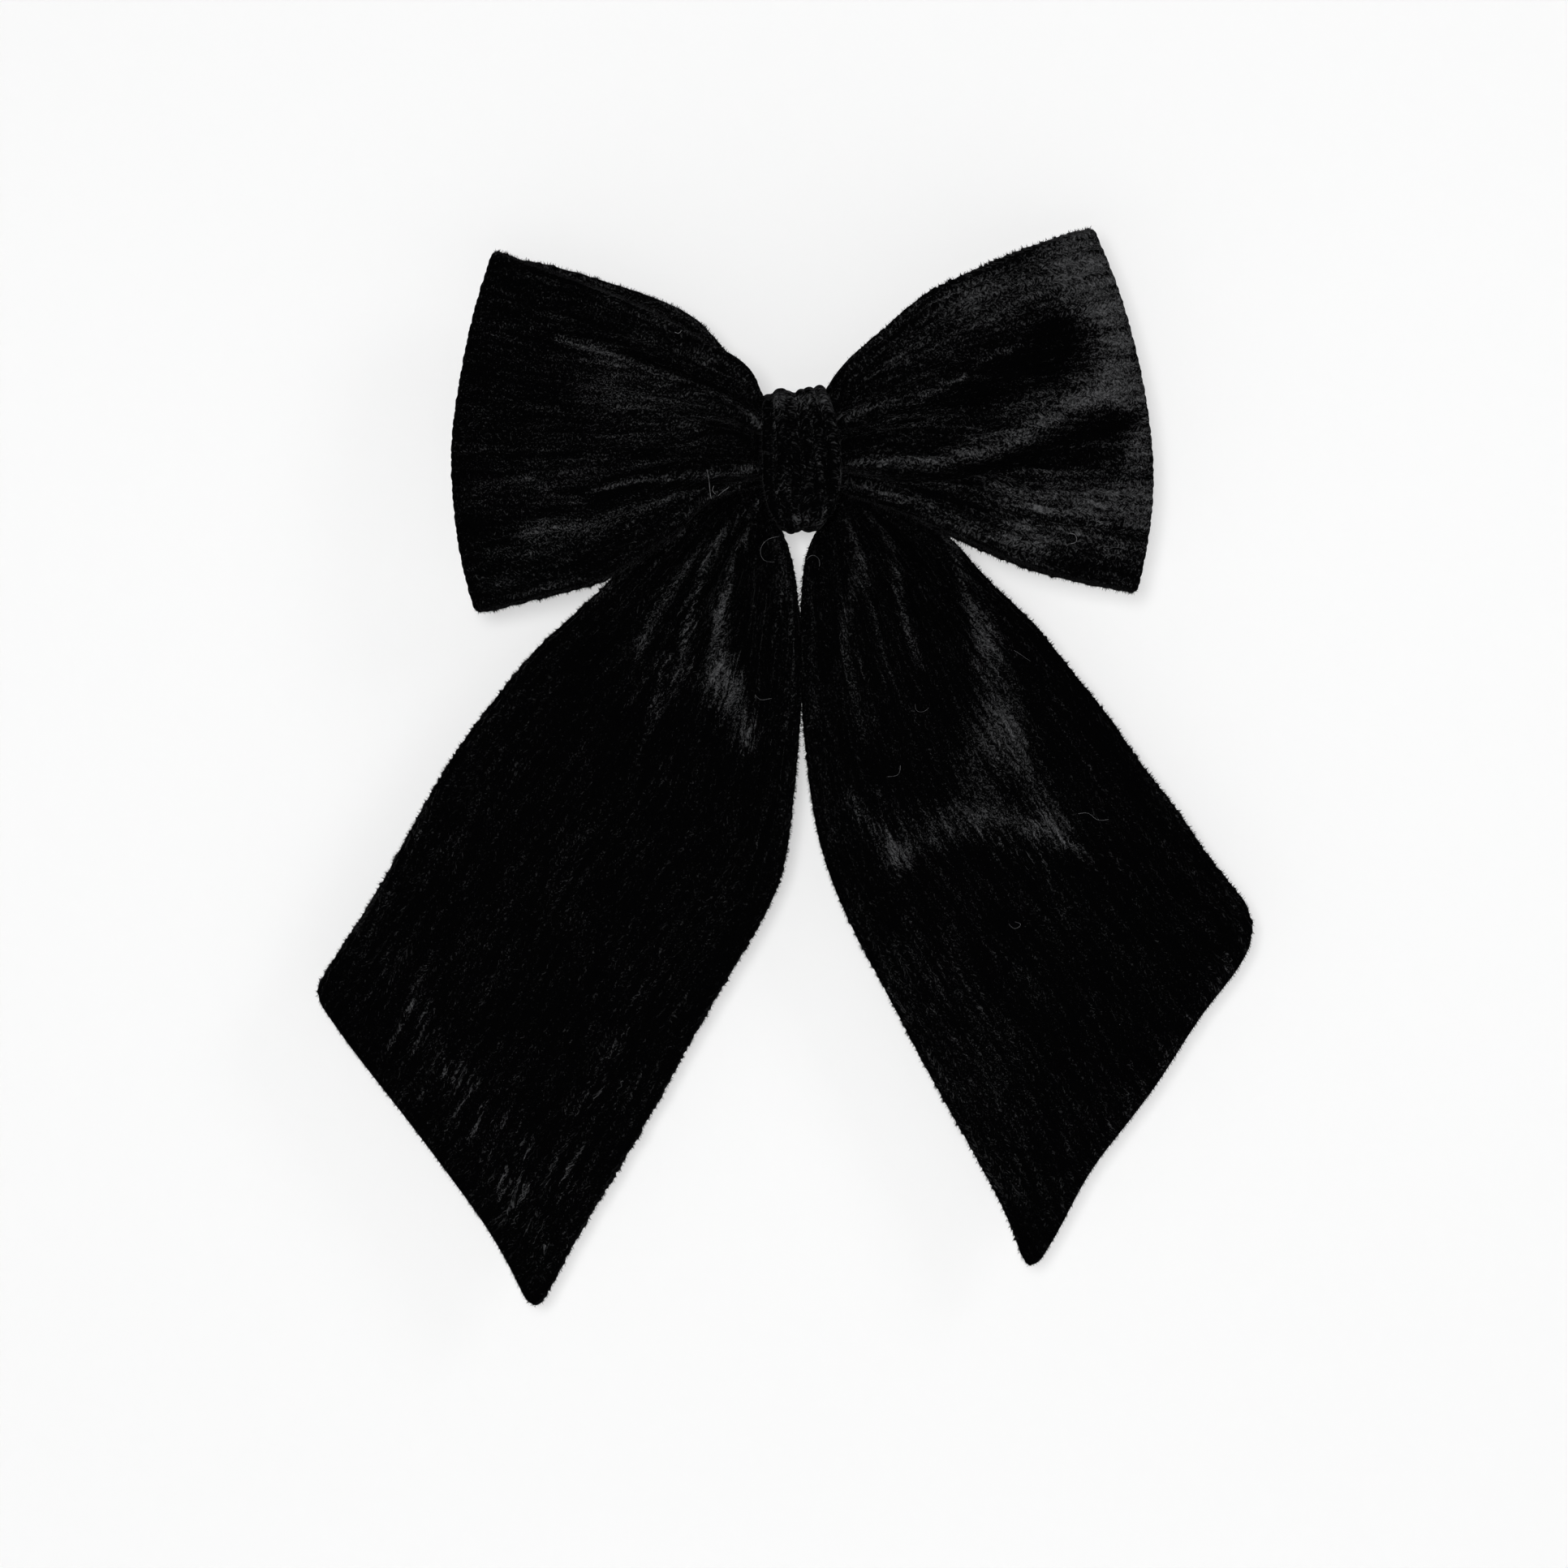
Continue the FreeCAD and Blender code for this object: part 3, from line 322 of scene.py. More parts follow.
# Painted highlights (positive strength) and painted shade (negative strength) for the velvet's colour, partly
# the lay of brushed pile, with the same numbers as a crease: strength in place of height.
LOOP_PAINTED_LIGHT = {
    "right": [
        ([(60, 45), (66, 33), (69.5, 20), (72, 8), (73, 1)], (6.5, 4.5), (0.95, 0.9)),
        ([(32, 32), (46, 36), (58, 38)], (3.5, 8.0), (0.35, 0.65)),
        ([(10, 20), (22, 29), (38, 37)], (1.6, 3.0), (0.35, 0.35)),
        ([(12, 12.4), (22.4, 19.3), (33.7, 26.3), (39.8, 28.9), (46, 30.7)], (0.5, 0.8), (0.45, 0.4)),
        ([(14, 15.6), (24, 23.0), (36, 30.5)], (1.6, 3.0), (0.25, 0.3)),
        ([(9.5, 8.4), (13.7, 9.8), (22.4, 12.4), (31.1, 15.4), (39.8, 21.1), (48.5, 24.6)],
         (0.5, 0.45), (0.9, 0.7)),
        ([(12, 11), (22, 15), (32, 21)], (0.6, 2.6), (0.2, 0.25)),
        ([(18, 9.2), (24, 8.6), (29, 7.8)], (0.5, 0.5), (0.5, 0.4)),
        ([(12, 6.2), (24, 5.8), (34, 8)], (1.2, 2.4), (0.3, 0.2)),
        ([(10.2, -0.9), (20, -1.2), (30, -0.9), (38, 0.9), (44, 2.9), (50, 6.4), (57, 10.4), (68, 15)],
         (0.4, 3.2), (0.9, 0.85)),
        ([(36, 4.5), (46, 9.5), (56, 15), (64, 19)], (1.4, 3.0), (0.3, 0.5)),
        ([(29, 0.9), (36, 2.6), (43.5, 5.2)], (0.4, 0.4), (0.7, 0.6)),
        ([(40, -7), (54, -9), (73, -9.5)], (2.8, 5.6), (0.45, 0.85)),
        ([(44, -17.5), (60, -21), (72, -22)], (2.0, 3.0), (0.3, 0.25)),
        ([(46, -3.6), (60, -3.2), (73, -2.4)], (0.35, 0.4), (0.5, 0.6)),
        ([(44, -7.4), (60, -8.0), (74, -8.2)], (0.35, 0.5), (0.5, 0.7)),
        ([(42, -10.2), (58, -12.0), (74, -13.0)], (0.35, 0.5), (0.5, 0.6)),
        ([(44, -14.4), (58, -16.6), (73, -18.0)], (0.35, 0.5), (0.45, 0.5)),
        ([(10.2, -5.2), (22.4, -9.2), (31, -13.2), (40, -16.8), (50, -19.6)], (0.8, 3.0), (0.65, 0.55)),
        ([(10.5, -2.8), (22, -5.0), (34, -8)], (0.5, 1.2), (0.4, 0.3)),
        ([(44, -15), (56, -17), (71, -20)], (2.4, 3.4), (0.4, 0.3)),
        ([(58, -26), (71, -27.6)], (0.8, 0.8), (0.3, 0.3)),
        ([(30, 12.4), (38, 15.0), (46, 19.5), (53.5, 24.6)], (1.8, 3.8), (-0.4, -1.2)),
        ([(31, -2.9), (40, -2.0), (48, 0.2), (56, 3.4), (64, 6.6), (71, 8.6)], (0.6, 1.9), (-0.7, -1.2)),
    ],
    "left": [
        ([(-9.2, 6.9), (-13, 9.4), (-19.3, 13.1), (-28, 16.6), (-38.4, 20.5), (-51.4, 24.8)],
         (0.3, 0.6), (0.95, 0.75)),
        ([(-9.8, 8.9), (-19.3, 15.0), (-28, 18.4), (-38, 22.3)], (0.6, 1.0), (-0.4, -0.25)),
        ([(-14, 7.6), (-26, 12.0), (-40, 15.2)], (1.4, 4.4), (0.3, 0.38)),
        ([(-22, 6.0), (-34, 9.0), (-46, 12)], (1.4, 3.6), (0.35, 0.3)),
        ([(-40, 19), (-50, 22)], (2.6, 3.6), (0.25, 0.2)),
        ([(-18.5, 23.4), (-28, 28.5), (-37.5, 33.1), (-45.3, 36.5)], (0.45, 0.45), (0.75, 0.65)),
        ([(-12, 15.5), (-25, 23.5), (-42, 31)], (2.0, 4.0), (0.25, 0.2)),
        ([(-10.6, -2.5), (-19.3, -3.2), (-28, -4.4), (-36.6, -5.7), (-45.3, -7.7)], (0.4, 0.45), (1.0, 0.9)),
        ([(-10.6, -3.9), (-19.3, -4.7), (-28, -6.0), (-36.6, -7.5), (-44, -9.4)], (0.6, 0.9), (-0.3, -0.3)),
        ([(-45, -3.6), (-53, -5.0), (-60, -5.8)], (2.2, 2.8), (0.3, 0.3)),
        ([(-58, -4.2), (-52, -8.6), (-46, -9.6)], (0.9, 0.6), (0.4, 0.4)),
        ([(-46, -9.8), (-58, -10.6), (-70, -12)], (0.4, 0.4), (0.4, 0.3)),
        ([(-12, 1.8), (-34, 3.6), (-58, 4.0)], (1.0, 3.0), (0.25, 0.2)),
        ([(-12, -0.6), (-30, -1.4), (-50, -1.6)], (0.5, 1.6), (0.2, 0.25)),
        ([(-22, -7.4), (-34, -11), (-46, -14.6), (-58, -16.4)], (0.8, 2.8), (0.6, 0.55)),
        ([(-60, -5), (-68, -6)], (2.4, 2.4), (0.15, 0.1)),
        ([(-50, -21), (-60, -19.5), (-67, -21)], (2.0, 3.0), (0.2, 0.2)),
        ([(-14, -6.6), (-24, -10.6), (-32, -16)], (0.5, 1.0), (0.45, 0.3)),
        ([(-52, -27), (-66, -30.6)], (0.9, 0.9), (0.25, 0.25)),
    ],
}
# Where the painted highlights break up into separate long dashes along the grain, with the same numbers as a
# crease.
LOOP_PAINTED_DASHES = {
    "right": [
        ([(40, -9), (56, -13), (73, -14)], (5.0, 7.5), (0.5, 0.6)),
        ([(14, 17), (30, 26), (46, 36)], (3.0, 6.0), (0.3, 0.3)),
        ([(12, 7), (30, 10)], (2.0, 4.0), (0.35, 0.3)),
    ],
    "left": [
        ([(-14, -7), (-34, -14), (-60, -18)], (2.0, 6.0), (0.4, 0.4)),
        ([(-14, 12), (-34, 20), (-60, 28)], (2.0, 6.0), (0.3, 0.2)),
    ],
}


def crowded(count, lean):
    """Shares from 0 to 1 that lie closer together near both ends, as far as lean says."""
    even = np.linspace(0, 1, count)
    return lean * (0.5 - 0.5 * np.cos(math.pi * even)) + (1 - lean) * even


def bulge_of(points, t):
    """How far the line through points lies from its chord, at shares t of the way."""
    first, last = np.array([points[0], points[-1]], float)
    return Line(points).at(t) - (first + (last - first) * t[..., None])


def outline_place(outline, top, share, v):
    """Where a point lies in the front view: share of the way from the knot to the fold, and
    v from the bottom edge to the top edge."""
    low = Line(outline["bottom"]).at(share)
    high = Line(outline[top]).at(share)
    flat = low + (high - low) * v[..., None]
    return flat + bulge_of(outline["fold"], v) * (share**2.2)[..., None]


def gathers(share, v, seed, height):
    """Folds that run out from the knot and die away, in mm."""
    source = np.random.default_rng(seed)
    total = np.zeros_like(v)
    for count in (3.1, 4.6, 6.3):
        phase = source.uniform(0, 2 * math.pi)
        drift = source.uniform(-0.6, 0.6)
        total += np.sin(2 * math.pi * count * v + phase + drift * share * 3)
    return height * total / 2.2 * (0.12 + np.exp(-((share / 0.42) ** 2)))


def make_loop(name, seed):
    outline = LOOPS[name]
    rows, columns = 290, 168
    u = np.interp(np.linspace(0, 1, rows), (0, FRONT_ROWS, 1), (0, FRONT_SHARE, 1))
    v = crowded(columns, 0.3)
    section = Line(LOOP_SECTION).at(u)
    share = np.repeat(np.clip(section[:, :1] / LOOP_REACH, 0, 1), columns, 1)
    fold_at = u[share[:, 0].argmax()]
    depth = np.repeat(section[:, 1:], columns, 1)
    u_grid, v_grid = np.meshgrid(u, v, indexing="ij")
    front = outline_place(outline, "top", share, v_grid)
    back = outline_place(outline, "back_top", share, v_grid)
    behind = ease(fold_at - 0.02, fold_at + 0.08, u_grid)[..., None]
    flat = front + (back - front) * behind
    x, z = flat[..., 0], flat[..., 1]
    is_front = 1 - ease(fold_at - 0.01, fold_at + 0.03, u_grid)
    creased = soft_marks(x, z, LOOP_CREASES[name]) * is_front
    creased += gathers(share, v_grid, seed, 0.35) * is_front
    hidden_folds = gathers(share, v_grid, seed + 1, 0.9) * (1 - is_front)
    wrap = (2 * v_grid - 1) ** 4 * 3.2 * np.exp(-((share / 0.4) ** 2))
    # Small folds keep the lower and upper rims alive.
    rims = 0.35 * wander(share * 70 + 9 * v_grid, 16, seed + 2) * np.abs(2 * v_grid - 1) ** 3
    fade = ease(0.0, 0.06, share) * (1 - ease(0.94, 1.0, share) * 0.8)
    depth = depth - (creased + rims * is_front) * fade + hidden_folds * 0.45 * fade + wrap * is_front
    depth = np.minimum(depth, LOOP_LIMIT)
    grid = np.stack([x, depth, z], 2)
    streak_x, streak_z = combed(x, z, v_grid * LOOP_WIDTH, 0.9, STREAK_PERIOD, seed + 6)
    # Painted highlights and painted shade on the front leaves, partly the lay of brushed pile; the back
    # leaves get an even painted highlight.
    pile_lay_and_painted_light = soft_marks(streak_x, streak_z, LOOP_PAINTED_LIGHT[name]) * is_front
    pile_lay_and_painted_light += 0.3 * (1 - is_front)
    # Zones where the painted highlights break into long dashes.
    dashes = soft_marks(x, z, LOOP_PAINTED_DASHES[name]) * is_front
    return build_ribbon(f"velvet_loop_{name}", grid, pile_lay_and_painted_light, dashes, seed)


def ragged(grid, seed):
    """The grid with long edges that are uneven by tufts of pile, about 0.15 mm."""
    source = np.random.default_rng(seed + 5)
    grid = grid.copy()
    for edge, inner in ((0, 2), (-1, -3)):
        out = grid[:, edge] - grid[:, inner]
        out /= np.maximum(np.linalg.norm(out, axis=1, keepdims=True), 1e-9)
        tufts = source.normal(0, 0.15, (len(grid), 1))
        grid[:, edge] += out * tufts
    return grid


# Fine ribs along the grain, in mm, and how far apart the ribbons' patterns start, in metres.
RIB_HEIGHT, RIB_PERIOD = 0.10, 2.1
PATTERN_STEP = 0.37


def build_ribbon(name, grid_mm, pile_lay_and_painted_light, dashes, seed, with_end=False):
    """The shell of a ribbon with its facts for the velvet, and its fringe of pile."""
    rows, columns = pile_lay_and_painted_light.shape
    grid = ragged(grid_mm, seed) * MM
    across = ribbon_places(grid)[..., 1] / MM
    ribs = RIB_HEIGHT * MM * wander(across + 0.4 * pile_lay_and_painted_light, RIB_PERIOD, seed + 3)
    grid = grid + normals_of(grid) * ribs[..., None]
    points, faces = closed_shell(grid, HALF_THICK * MM)
    facts = {
        "ribbon": spread_to_shell(ribbon_places(grid) + seed * PATTERN_STEP, rows, columns),
        # Painted highlights and painted shade for the velvet's colour, partly the lay of brushed pile.
        "pile_lay_and_painted_light": spread_to_shell(np.clip(pile_lay_and_painted_light, -0.2, 1), rows, columns),
        # Zones where the painted highlights break into long dashes.
        "dashes": spread_to_shell(np.clip(dashes, 0, 1), rows, columns),
    }
    obj = new_mesh(name, points, faces, facts)
    fringe = edge_pile(f"{name}_pile", grid, HALF_THICK * MM, seed + 4, with_end)
    return obj, fringe, grid


# ---------------------------------------------------------------- tails

# Width of the tails' tube as it lies, in mm, and how much lower their painted highlights are than the loops'.
TAIL_WIDTH = 76
TAIL_PAINTED_LIGHT_DROP = 0.12
# Outlines of the tails: outer and inner edges run down from the knot, and the cut end runs from
# the outer corner to the inner one. corner and tip say how those two corners are rounded: the
# places that the corner's edges run toward, and over how many mm.
TAILS = {
    "left": {
        "outer": [(-5.5, 4.0), (-7.8, -1.0), (-17, -6.2), (-29, -14.4), (-42.1, -26.2), (-51.2, -34.7),
                  (-56.9, -39.9), (-65.8, -50.3), (-73.8, -60.8), (-80.5, -71.4), (-86.3, -82.0),
                  (-95.4, -97.8), (-103.2, -110.0), (-106.6, -115.6)],
        "inner": [(-1.5, 4.0), (-2.6, -6), (-4.9, -13.6), (-3.4, -18.4), (-1.3, -27.5), (-0.3, -36),
                  (0.1, -45), (-0.1, -53), (-0.6, -60.8), (-2.1, -76.7), (-5.1, -92.5), (-7.8, -98.4),
                  (-16.7, -113.6), (-28.7, -134.8), (-40.8, -155.9), (-50.6, -172.4), (-58.2, -187.0)],
        "end": [(-106.6, -115.6), (-100.7, -124.2), (-88.4, -140.1), (-76.4, -155.9),
                (-65.7, -171.7), (-58.2, -187.0)],
        "corner": ((-98.5, -102.2), (-102.2, -121.8), 4.0),
        "tip": ((-53.9, -178.8), (-62.5, -178.4), 6.5),
    },
    "right": {
        "outer": [(5.5, 4.0), (8.0, -2.0), (17, -7.2), (25.5, -12.0), (32.2, -16.8), (38.9, -24.1),
                  (49.6, -34.4), (58.5, -45.0), (66.9, -55.5), (74.5, -66.1), (82.6, -76.7),
                  (89.8, -87.2), (96.4, -95.6), (99.2, -100.4)],
        "inner": [(1.5, 4.0), (2.6, -6), (4.4, -13.6), (2.0, -18.6), (0.1, -27.5), (-0.3, -36),
                  (-0.3, -45), (0.0, -53), (0.6, -60.8), (2.6, -76.7), (5.1, -87.2), (9.2, -97.8),
                  (17.3, -113.6), (28.5, -134.8), (40.3, -155.9), (45.6, -166.8), (49.4, -178.0)],
        "end": [(99.2, -100.4), (97.2, -106.4), (88.4, -118.9), (77.8, -134.8), (69.9, -145.3),
                (62.1, -155.9), (56.4, -166.5), (49.4, -178.0)],
        "corner": ((94.5, -93.0), (96.4, -107.6), 5.5),
        "tip": ((46.6, -169.8), (53.6, -171.2), 6.0),
    },
}
TAIL_CREASES = {
    "left": [
        ([(-7, -7), (-13.6, -13.1), (-20.2, -21.9), (-24.6, -34.8), (-27, -46)], (0.9, 3.0), (1.8, 0.5)),
        ([(-10, -9), (-22, -19.5), (-32, -30), (-42, -46)], (0.9, 4.0), (1.5, 0.5)),
        ([(-7, -9), (-12, -17.5), (-15.4, -25.4), (-18, -39), (-17, -60)], (0.8, 4.5), (2.2, 1.6)),
        ([(-6.5, -10), (-10.5, -20), (-11, -32), (-9.5, -48)], (0.9, 3.5), (-2.0, -1.0)),
        ([(-9.5, -11), (-16.5, -21), (-21.2, -34), (-24, -47)], (0.8, 3.0), (-1.7, -0.6)),
        ([(-13, -12), (-25, -25), (-36, -42)], (0.8, 3.5), (-1.2, -0.4)),
        ([(-4.6, -15), (-4.5, -28), (-4.0, -50)], (1.2, 3.0), (1.6, 0.8)),
    ],
    "right": [
        ([(7, -8), (11.6, -17.5), (12.2, -27), (12, -44)], (0.9, 3.0), (1.8, 0.6)),
        ([(8, -8), (12.8, -18), (15.2, -31), (20.2, -44)], (0.7, 2.2), (1.5, 0.7)),
        ([(9, -8), (15.3, -14), (19.6, -22), (22.4, -33), (25, -40)], (0.7, 2.0), (1.6, 0.7)),
        ([(14, -8), (28.5, -15), (35.7, -27.5), (41.4, -38), (43.5, -58), (40, -78)], (1.0, 7.0), (2.2, 2.0)),
        ([(12, -9), (24, -18), (30, -30), (32, -46), (28, -62)], (1.2, 6.5), (-1.8, -1.6)),
        ([(8.6, -9), (13.6, -21), (17, -34), (22, -48)], (0.7, 2.0), (-1.5, -0.6)),
        ([(5, -15), (4.6, -28), (4.4, -50)], (1.2, 3.0), (1.5, 0.8)),
    ],
}
# Painted highlights (positive strength) and painted shade (negative strength) on the tails, partly the lay of
# brushed pile, with the same numbers as a crease.
TAIL_PAINTED_LIGHT = {
    "left": [
        ([(-9.4, -9.2), (-14.1, -12.9), (-18.2, -17), (-21.5, -24.4), (-23.9, -31.8), (-25, -40)],
         (0.55, 0.6), (1.0, 0.4)),
        ([(-17.4, -17), (-20.4, -22.4)], (0.9, 0.9), (0.4, 0.4)),
        ([(-10.6, -13.0), (-12.4, -17.5), (-14.1, -20.3), (-15.3, -24.4), (-16.6, -30.1), (-18.6, -35)],
         (0.45, 0.8), (0.75, 0.85)),
        ([(-17.4, -31), (-18.0, -40.8), (-17.2, -48)], (0.9, 3.0), (0.75, 0.9)),
        ([(-16.8, -48), (-14.4, -54.0), (-11.6, -60.5)], (3.2, 2.2), (0.95, 1.0)),
        ([(-19, -17), (-24.8, -22.8), (-28.9, -29.3), (-33, -35), (-36.2, -41)], (0.8, 1.6), (0.65, 0.55)),
        ([(-24.8, -35), (-27.2, -50)], (0.7, 0.9), (0.35, 0.45)),
        ([(-28.4, -43), (-32.6, -55)], (0.8, 1.0), (0.35, 0.45)),
        ([(-32, -43), (-37.6, -53)], (0.8, 1.0), (0.25, 0.35)),
        ([(-23.1, -13.7), (-33, -20.3), (-39.5, -25.2), (-46, -31)], (0.7, 0.9), (0.65, 0.5)),
        ([(-5.9, -16.2), (-3.4, -28.5), (-2.4, -39), (-2.2, -52)], (1.1, 1.0), (0.4, 0.25)),
        ([(-10.5, -24), (-10.8, -34)], (0.6, 0.8), (0.25, 0.2)),
        ([(-81, -73), (-90, -91), (-99, -106)], (2.2, 2.6), (0.2, 0.15)),
        ([(-90, -116), (-78, -130), (-66, -148), (-59, -166)], (4.5, 5.0), (0.04, 0.14)),
    ],
    "right": [
        ([(8.4, -10.4), (11.7, -17.2), (11.0, -31), (9.4, -38.3), (10.8, -49.4), (13.1, -62)],
         (0.8, 1.3), (0.7, 0.45)),
        ([(12.6, -19.9), (14.5, -29.1), (17.7, -42), (20.9, -51.2)], (0.45, 0.45), (0.85, 0.6)),
        ([(13.2, -11), (16.4, -14), (19.1, -18.1), (20.9, -26.4), (22.7, -35.6), (25.5, -44.8)],
         (0.5, 0.8), (0.85, 0.6)),
        ([(27, -13.4), (31.9, -17.6), (35.4, -27.3), (37.4, -32.8), (40.2, -40.2)], (0.5, 1.4), (0.6, 0.75)),
        ([(39.5, -36), (41.1, -44.8), (42.4, -53), (44, -60)], (2.2, 4.6), (0.7, 0.64)),
        ([(43.5, -54), (47.5, -64), (52, -72), (55, -80)], (2.6, 2.6), (0.35, 0.4)),
        ([(38.5, -57), (40, -70)], (4.0, 6.0), (0.22, 0.42)),
        ([(55, -80.5), (47.6, -78.4), (38.4, -77.2), (29.2, -80.6), (21.4, -85.4)], (3.6, 3.4), (0.5, 0.68)),
        ([(21.4, -86.4), (17.0, -81), (10.4, -72.8)], (2.2, 1.4), (0.7, 0.55)),
        ([(24, -91), (31, -88), (42, -85.8), (56, -89)], (1.6, 2.2), (-0.8, -0.8)),
        ([(2.6, -24), (2.2, -40), (3.6, -60), (6.6, -84)], (1.0, 1.4), (0.3, 0.2)),
        ([(12, -100), (26, -126), (44, -160)], (2.4, 5.0), (0.2, 0.26)),
        ([(28, -108), (44, -138)], (8.0, 8.0), (0.2, 0.2)),
        ([(96.6, -107), (84, -124.4), (69, -146), (57, -164)], (0.8, 0.9), (0.5, 0.4)),
        ([(70, -62), (84, -82), (94, -96)], (1.2, 1.4), (0.18, 0.16)),
    ],
}
# Where the painted highlights on the tails break up into long dashes, with the same numbers as a crease.
TAIL_PAINTED_DASHES = {
    "left": [
        ([(-88, -118), (-76, -134), (-65, -152), (-57.5, -168)], (7.0, 8.0), (0.95, 1.1)),
        ([(-30, -104), (-38, -124), (-52, -154)], (7.0, 8.0), (0.5, 0.7)),
        ([(-25, -38), (-33, -50)], (7.0, 8.0), (0.7, 0.9)),
        ([(-16, -18), (-26, -32)], (4.0, 6.0), (0.4, 0.5)),
        ([(-4, -24), (-3, -70)], (2.0, 2.5), (0.5, 0.4)),
        ([(-86, -86), (-99, -108)], (5.0, 5.0), (0.3, 0.3)),
    ],
    "right": [
        ([(46, -66), (52, -82)], (6.0, 8.0), (0.5, 0.6)),
        ([(14, -78), (36, -80), (56, -84)], (5.0, 6.0), (0.6, 0.7)),
        ([(24, -104), (38, -130)], (10.0, 10.0), (0.4, 0.4)),
        ([(11, -24), (15, -46)], (3.5, 5.0), (0.4, 0.4)),
        ([(94, -108), (76, -134), (56, -162)], (3.0, 3.5), (0.5, 0.5)),
    ],
}
# Depth of a tail's middle at shares of the way down, in mm.
TAIL_DEPTH = [(0.0, -8.2), (0.10, -8.3), (0.22, -8.6), (0.34, -9.6), (0.5, -10.0), (0.66, -8.4),
              (0.82, -7.5), (1.0, -8.6)]


def rounded(flat, corner, toward_a, toward_b, reach):
    """The outline places with one corner rounded over reach mm along both of its edges, which
    run from the corner toward a and toward b."""
    corner = np.array(corner, float)
    ways = []
    for toward in (toward_a, toward_b):
        way = np.array(toward, float) - corner
        ways.append(way / np.linalg.norm(way))
    skew = np.linalg.inv(np.stack(ways, 1))
    a, b = np.moveaxis((flat - corner) @ skew.T, -1, 0) / reach
    inside = (a < 1) & (b < 1)
    a, b = np.clip(1 - a, 0, 1), np.clip(1 - b, 0, 1)
    new_a, new_b = a * np.sqrt(1 - b**2 / 2), b * np.sqrt(1 - a**2 / 2)
    moved = flat + ((a - new_a)[..., None] * ways[0] + (b - new_b)[..., None] * ways[1]) * reach
    return np.where(inside[..., None], moved, flat)


def make_tail(name, seed):
    outline = TAILS[name]
    rows, columns = 340, 144
    u = np.linspace(0, 1, rows)
    v = crowded(columns, 0.3)
    u_grid, v_grid = np.meshgrid(u, v, indexing="ij")
    outer, inner = Line(outline["outer"]).at(u_grid), Line(outline["inner"]).at(u_grid)
    flat = outer + (inner - outer) * v_grid[..., None]
    flat = flat + bulge_of(outline["end"], v_grid) * ease(0.86, 1.0, u_grid)[..., None]
    flat = rounded(flat, outline["end"][0], *outline["corner"])
    flat = rounded(flat, outline["end"][-1], *outline["tip"])
    x, z = flat[..., 0], flat[..., 1]
    depth = np.repeat(Line(TAIL_DEPTH).at(u)[:, 1:], columns, 1)
    # The curl across the tail: the edges hang back from the middle.
    depth = depth + 1.6 * (2 * v_grid - 1) ** 2 * ease(0.3, 0.55, u_grid)
    free = ease(-11, -34, z)
    creased = soft_marks(x, z, TAIL_CREASES[name])
    ripples = 0.5 * wander(u_grid * 150 + 20 * v_grid, 55, seed) * ease(0.3, 0.6, u_grid)
    ripples += 0.3 * wander(u_grid * 150, 14, seed + 1) * (2 * v_grid - 1) ** 6 * ease(0.35, 0.5, u_grid)
    depth = depth - creased * (0.2 + 0.8 * free) + ripples
    grid = np.stack([x, depth, z], 2)
    streak_x, streak_z = combed(x, z, v_grid * TAIL_WIDTH, 2.0, STREAK_PERIOD, seed + 6)
    # Painted highlights and painted shade, partly the lay of brushed pile, lowered on the tails; then the
    # zones where they break into dashes.
    pile_lay_and_painted_light = soft_marks(streak_x, streak_z, TAIL_PAINTED_LIGHT[name]) - TAIL_PAINTED_LIGHT_DROP
    dashes = soft_marks(x, z, TAIL_PAINTED_DASHES[name])
    return build_ribbon(f"velvet_tail_{name}", grid, pile_lay_and_painted_light, dashes, seed, with_end=True)


# ---------------------------------------------------------------- knot

# Round the knot band from behind: depth and height in mm, then its reach to the left and right.
KNOT_RING = [
    (-4.40, 0.0, 8.0, 8.0), (-4.50, 8.5, 8.0, 7.0), (-6.2, 12.3, 8.2, 5.8), (-10.0, 13.6, 8.4, 5.2),
    (-14.8, 14.0, 8.5, 5.0), (-18.6, 13.1, 8.5, 5.3), (-20.9, 10.0, 8.5, 6.4), (-21.5, 5.2, 8.5, 7.7),
    (-21.7, 0.0, 8.45, 8.2), (-21.4, -6.0, 8.2, 8.0), (-20.6, -10.8, 7.1, 6.7), (-18.2, -13.9, 5.4, 4.7),
    (-14.5, -14.7, 4.8, 3.9), (-9.8, -14.2, 4.4, 3.9), (-6.2, -12.6, 4.8, 4.8), (-4.55, -8.5, 6.6, 6.6),
    (-4.40, 0.0, 8.0, 8.0),
]
# Pleats of the knot band: share of the way across, half width as a share, height in mm.
KNOT_PLEATS = [
    (0.04, 0.07, 0.6), (0.30, 0.075, 1.1), (0.41, 0.03, 0.4), (0.62, 0.04, 0.6), (0.74, 0.07, 0.9),
    (0.93, 0.08, 1.5),
]
# The mean height of the pleats, in mm.
KNOT_FULLNESS = 0.55
# How much the top edge of the knot rises from its middle to its right end, in mm.
KNOT_TILT = 0.8
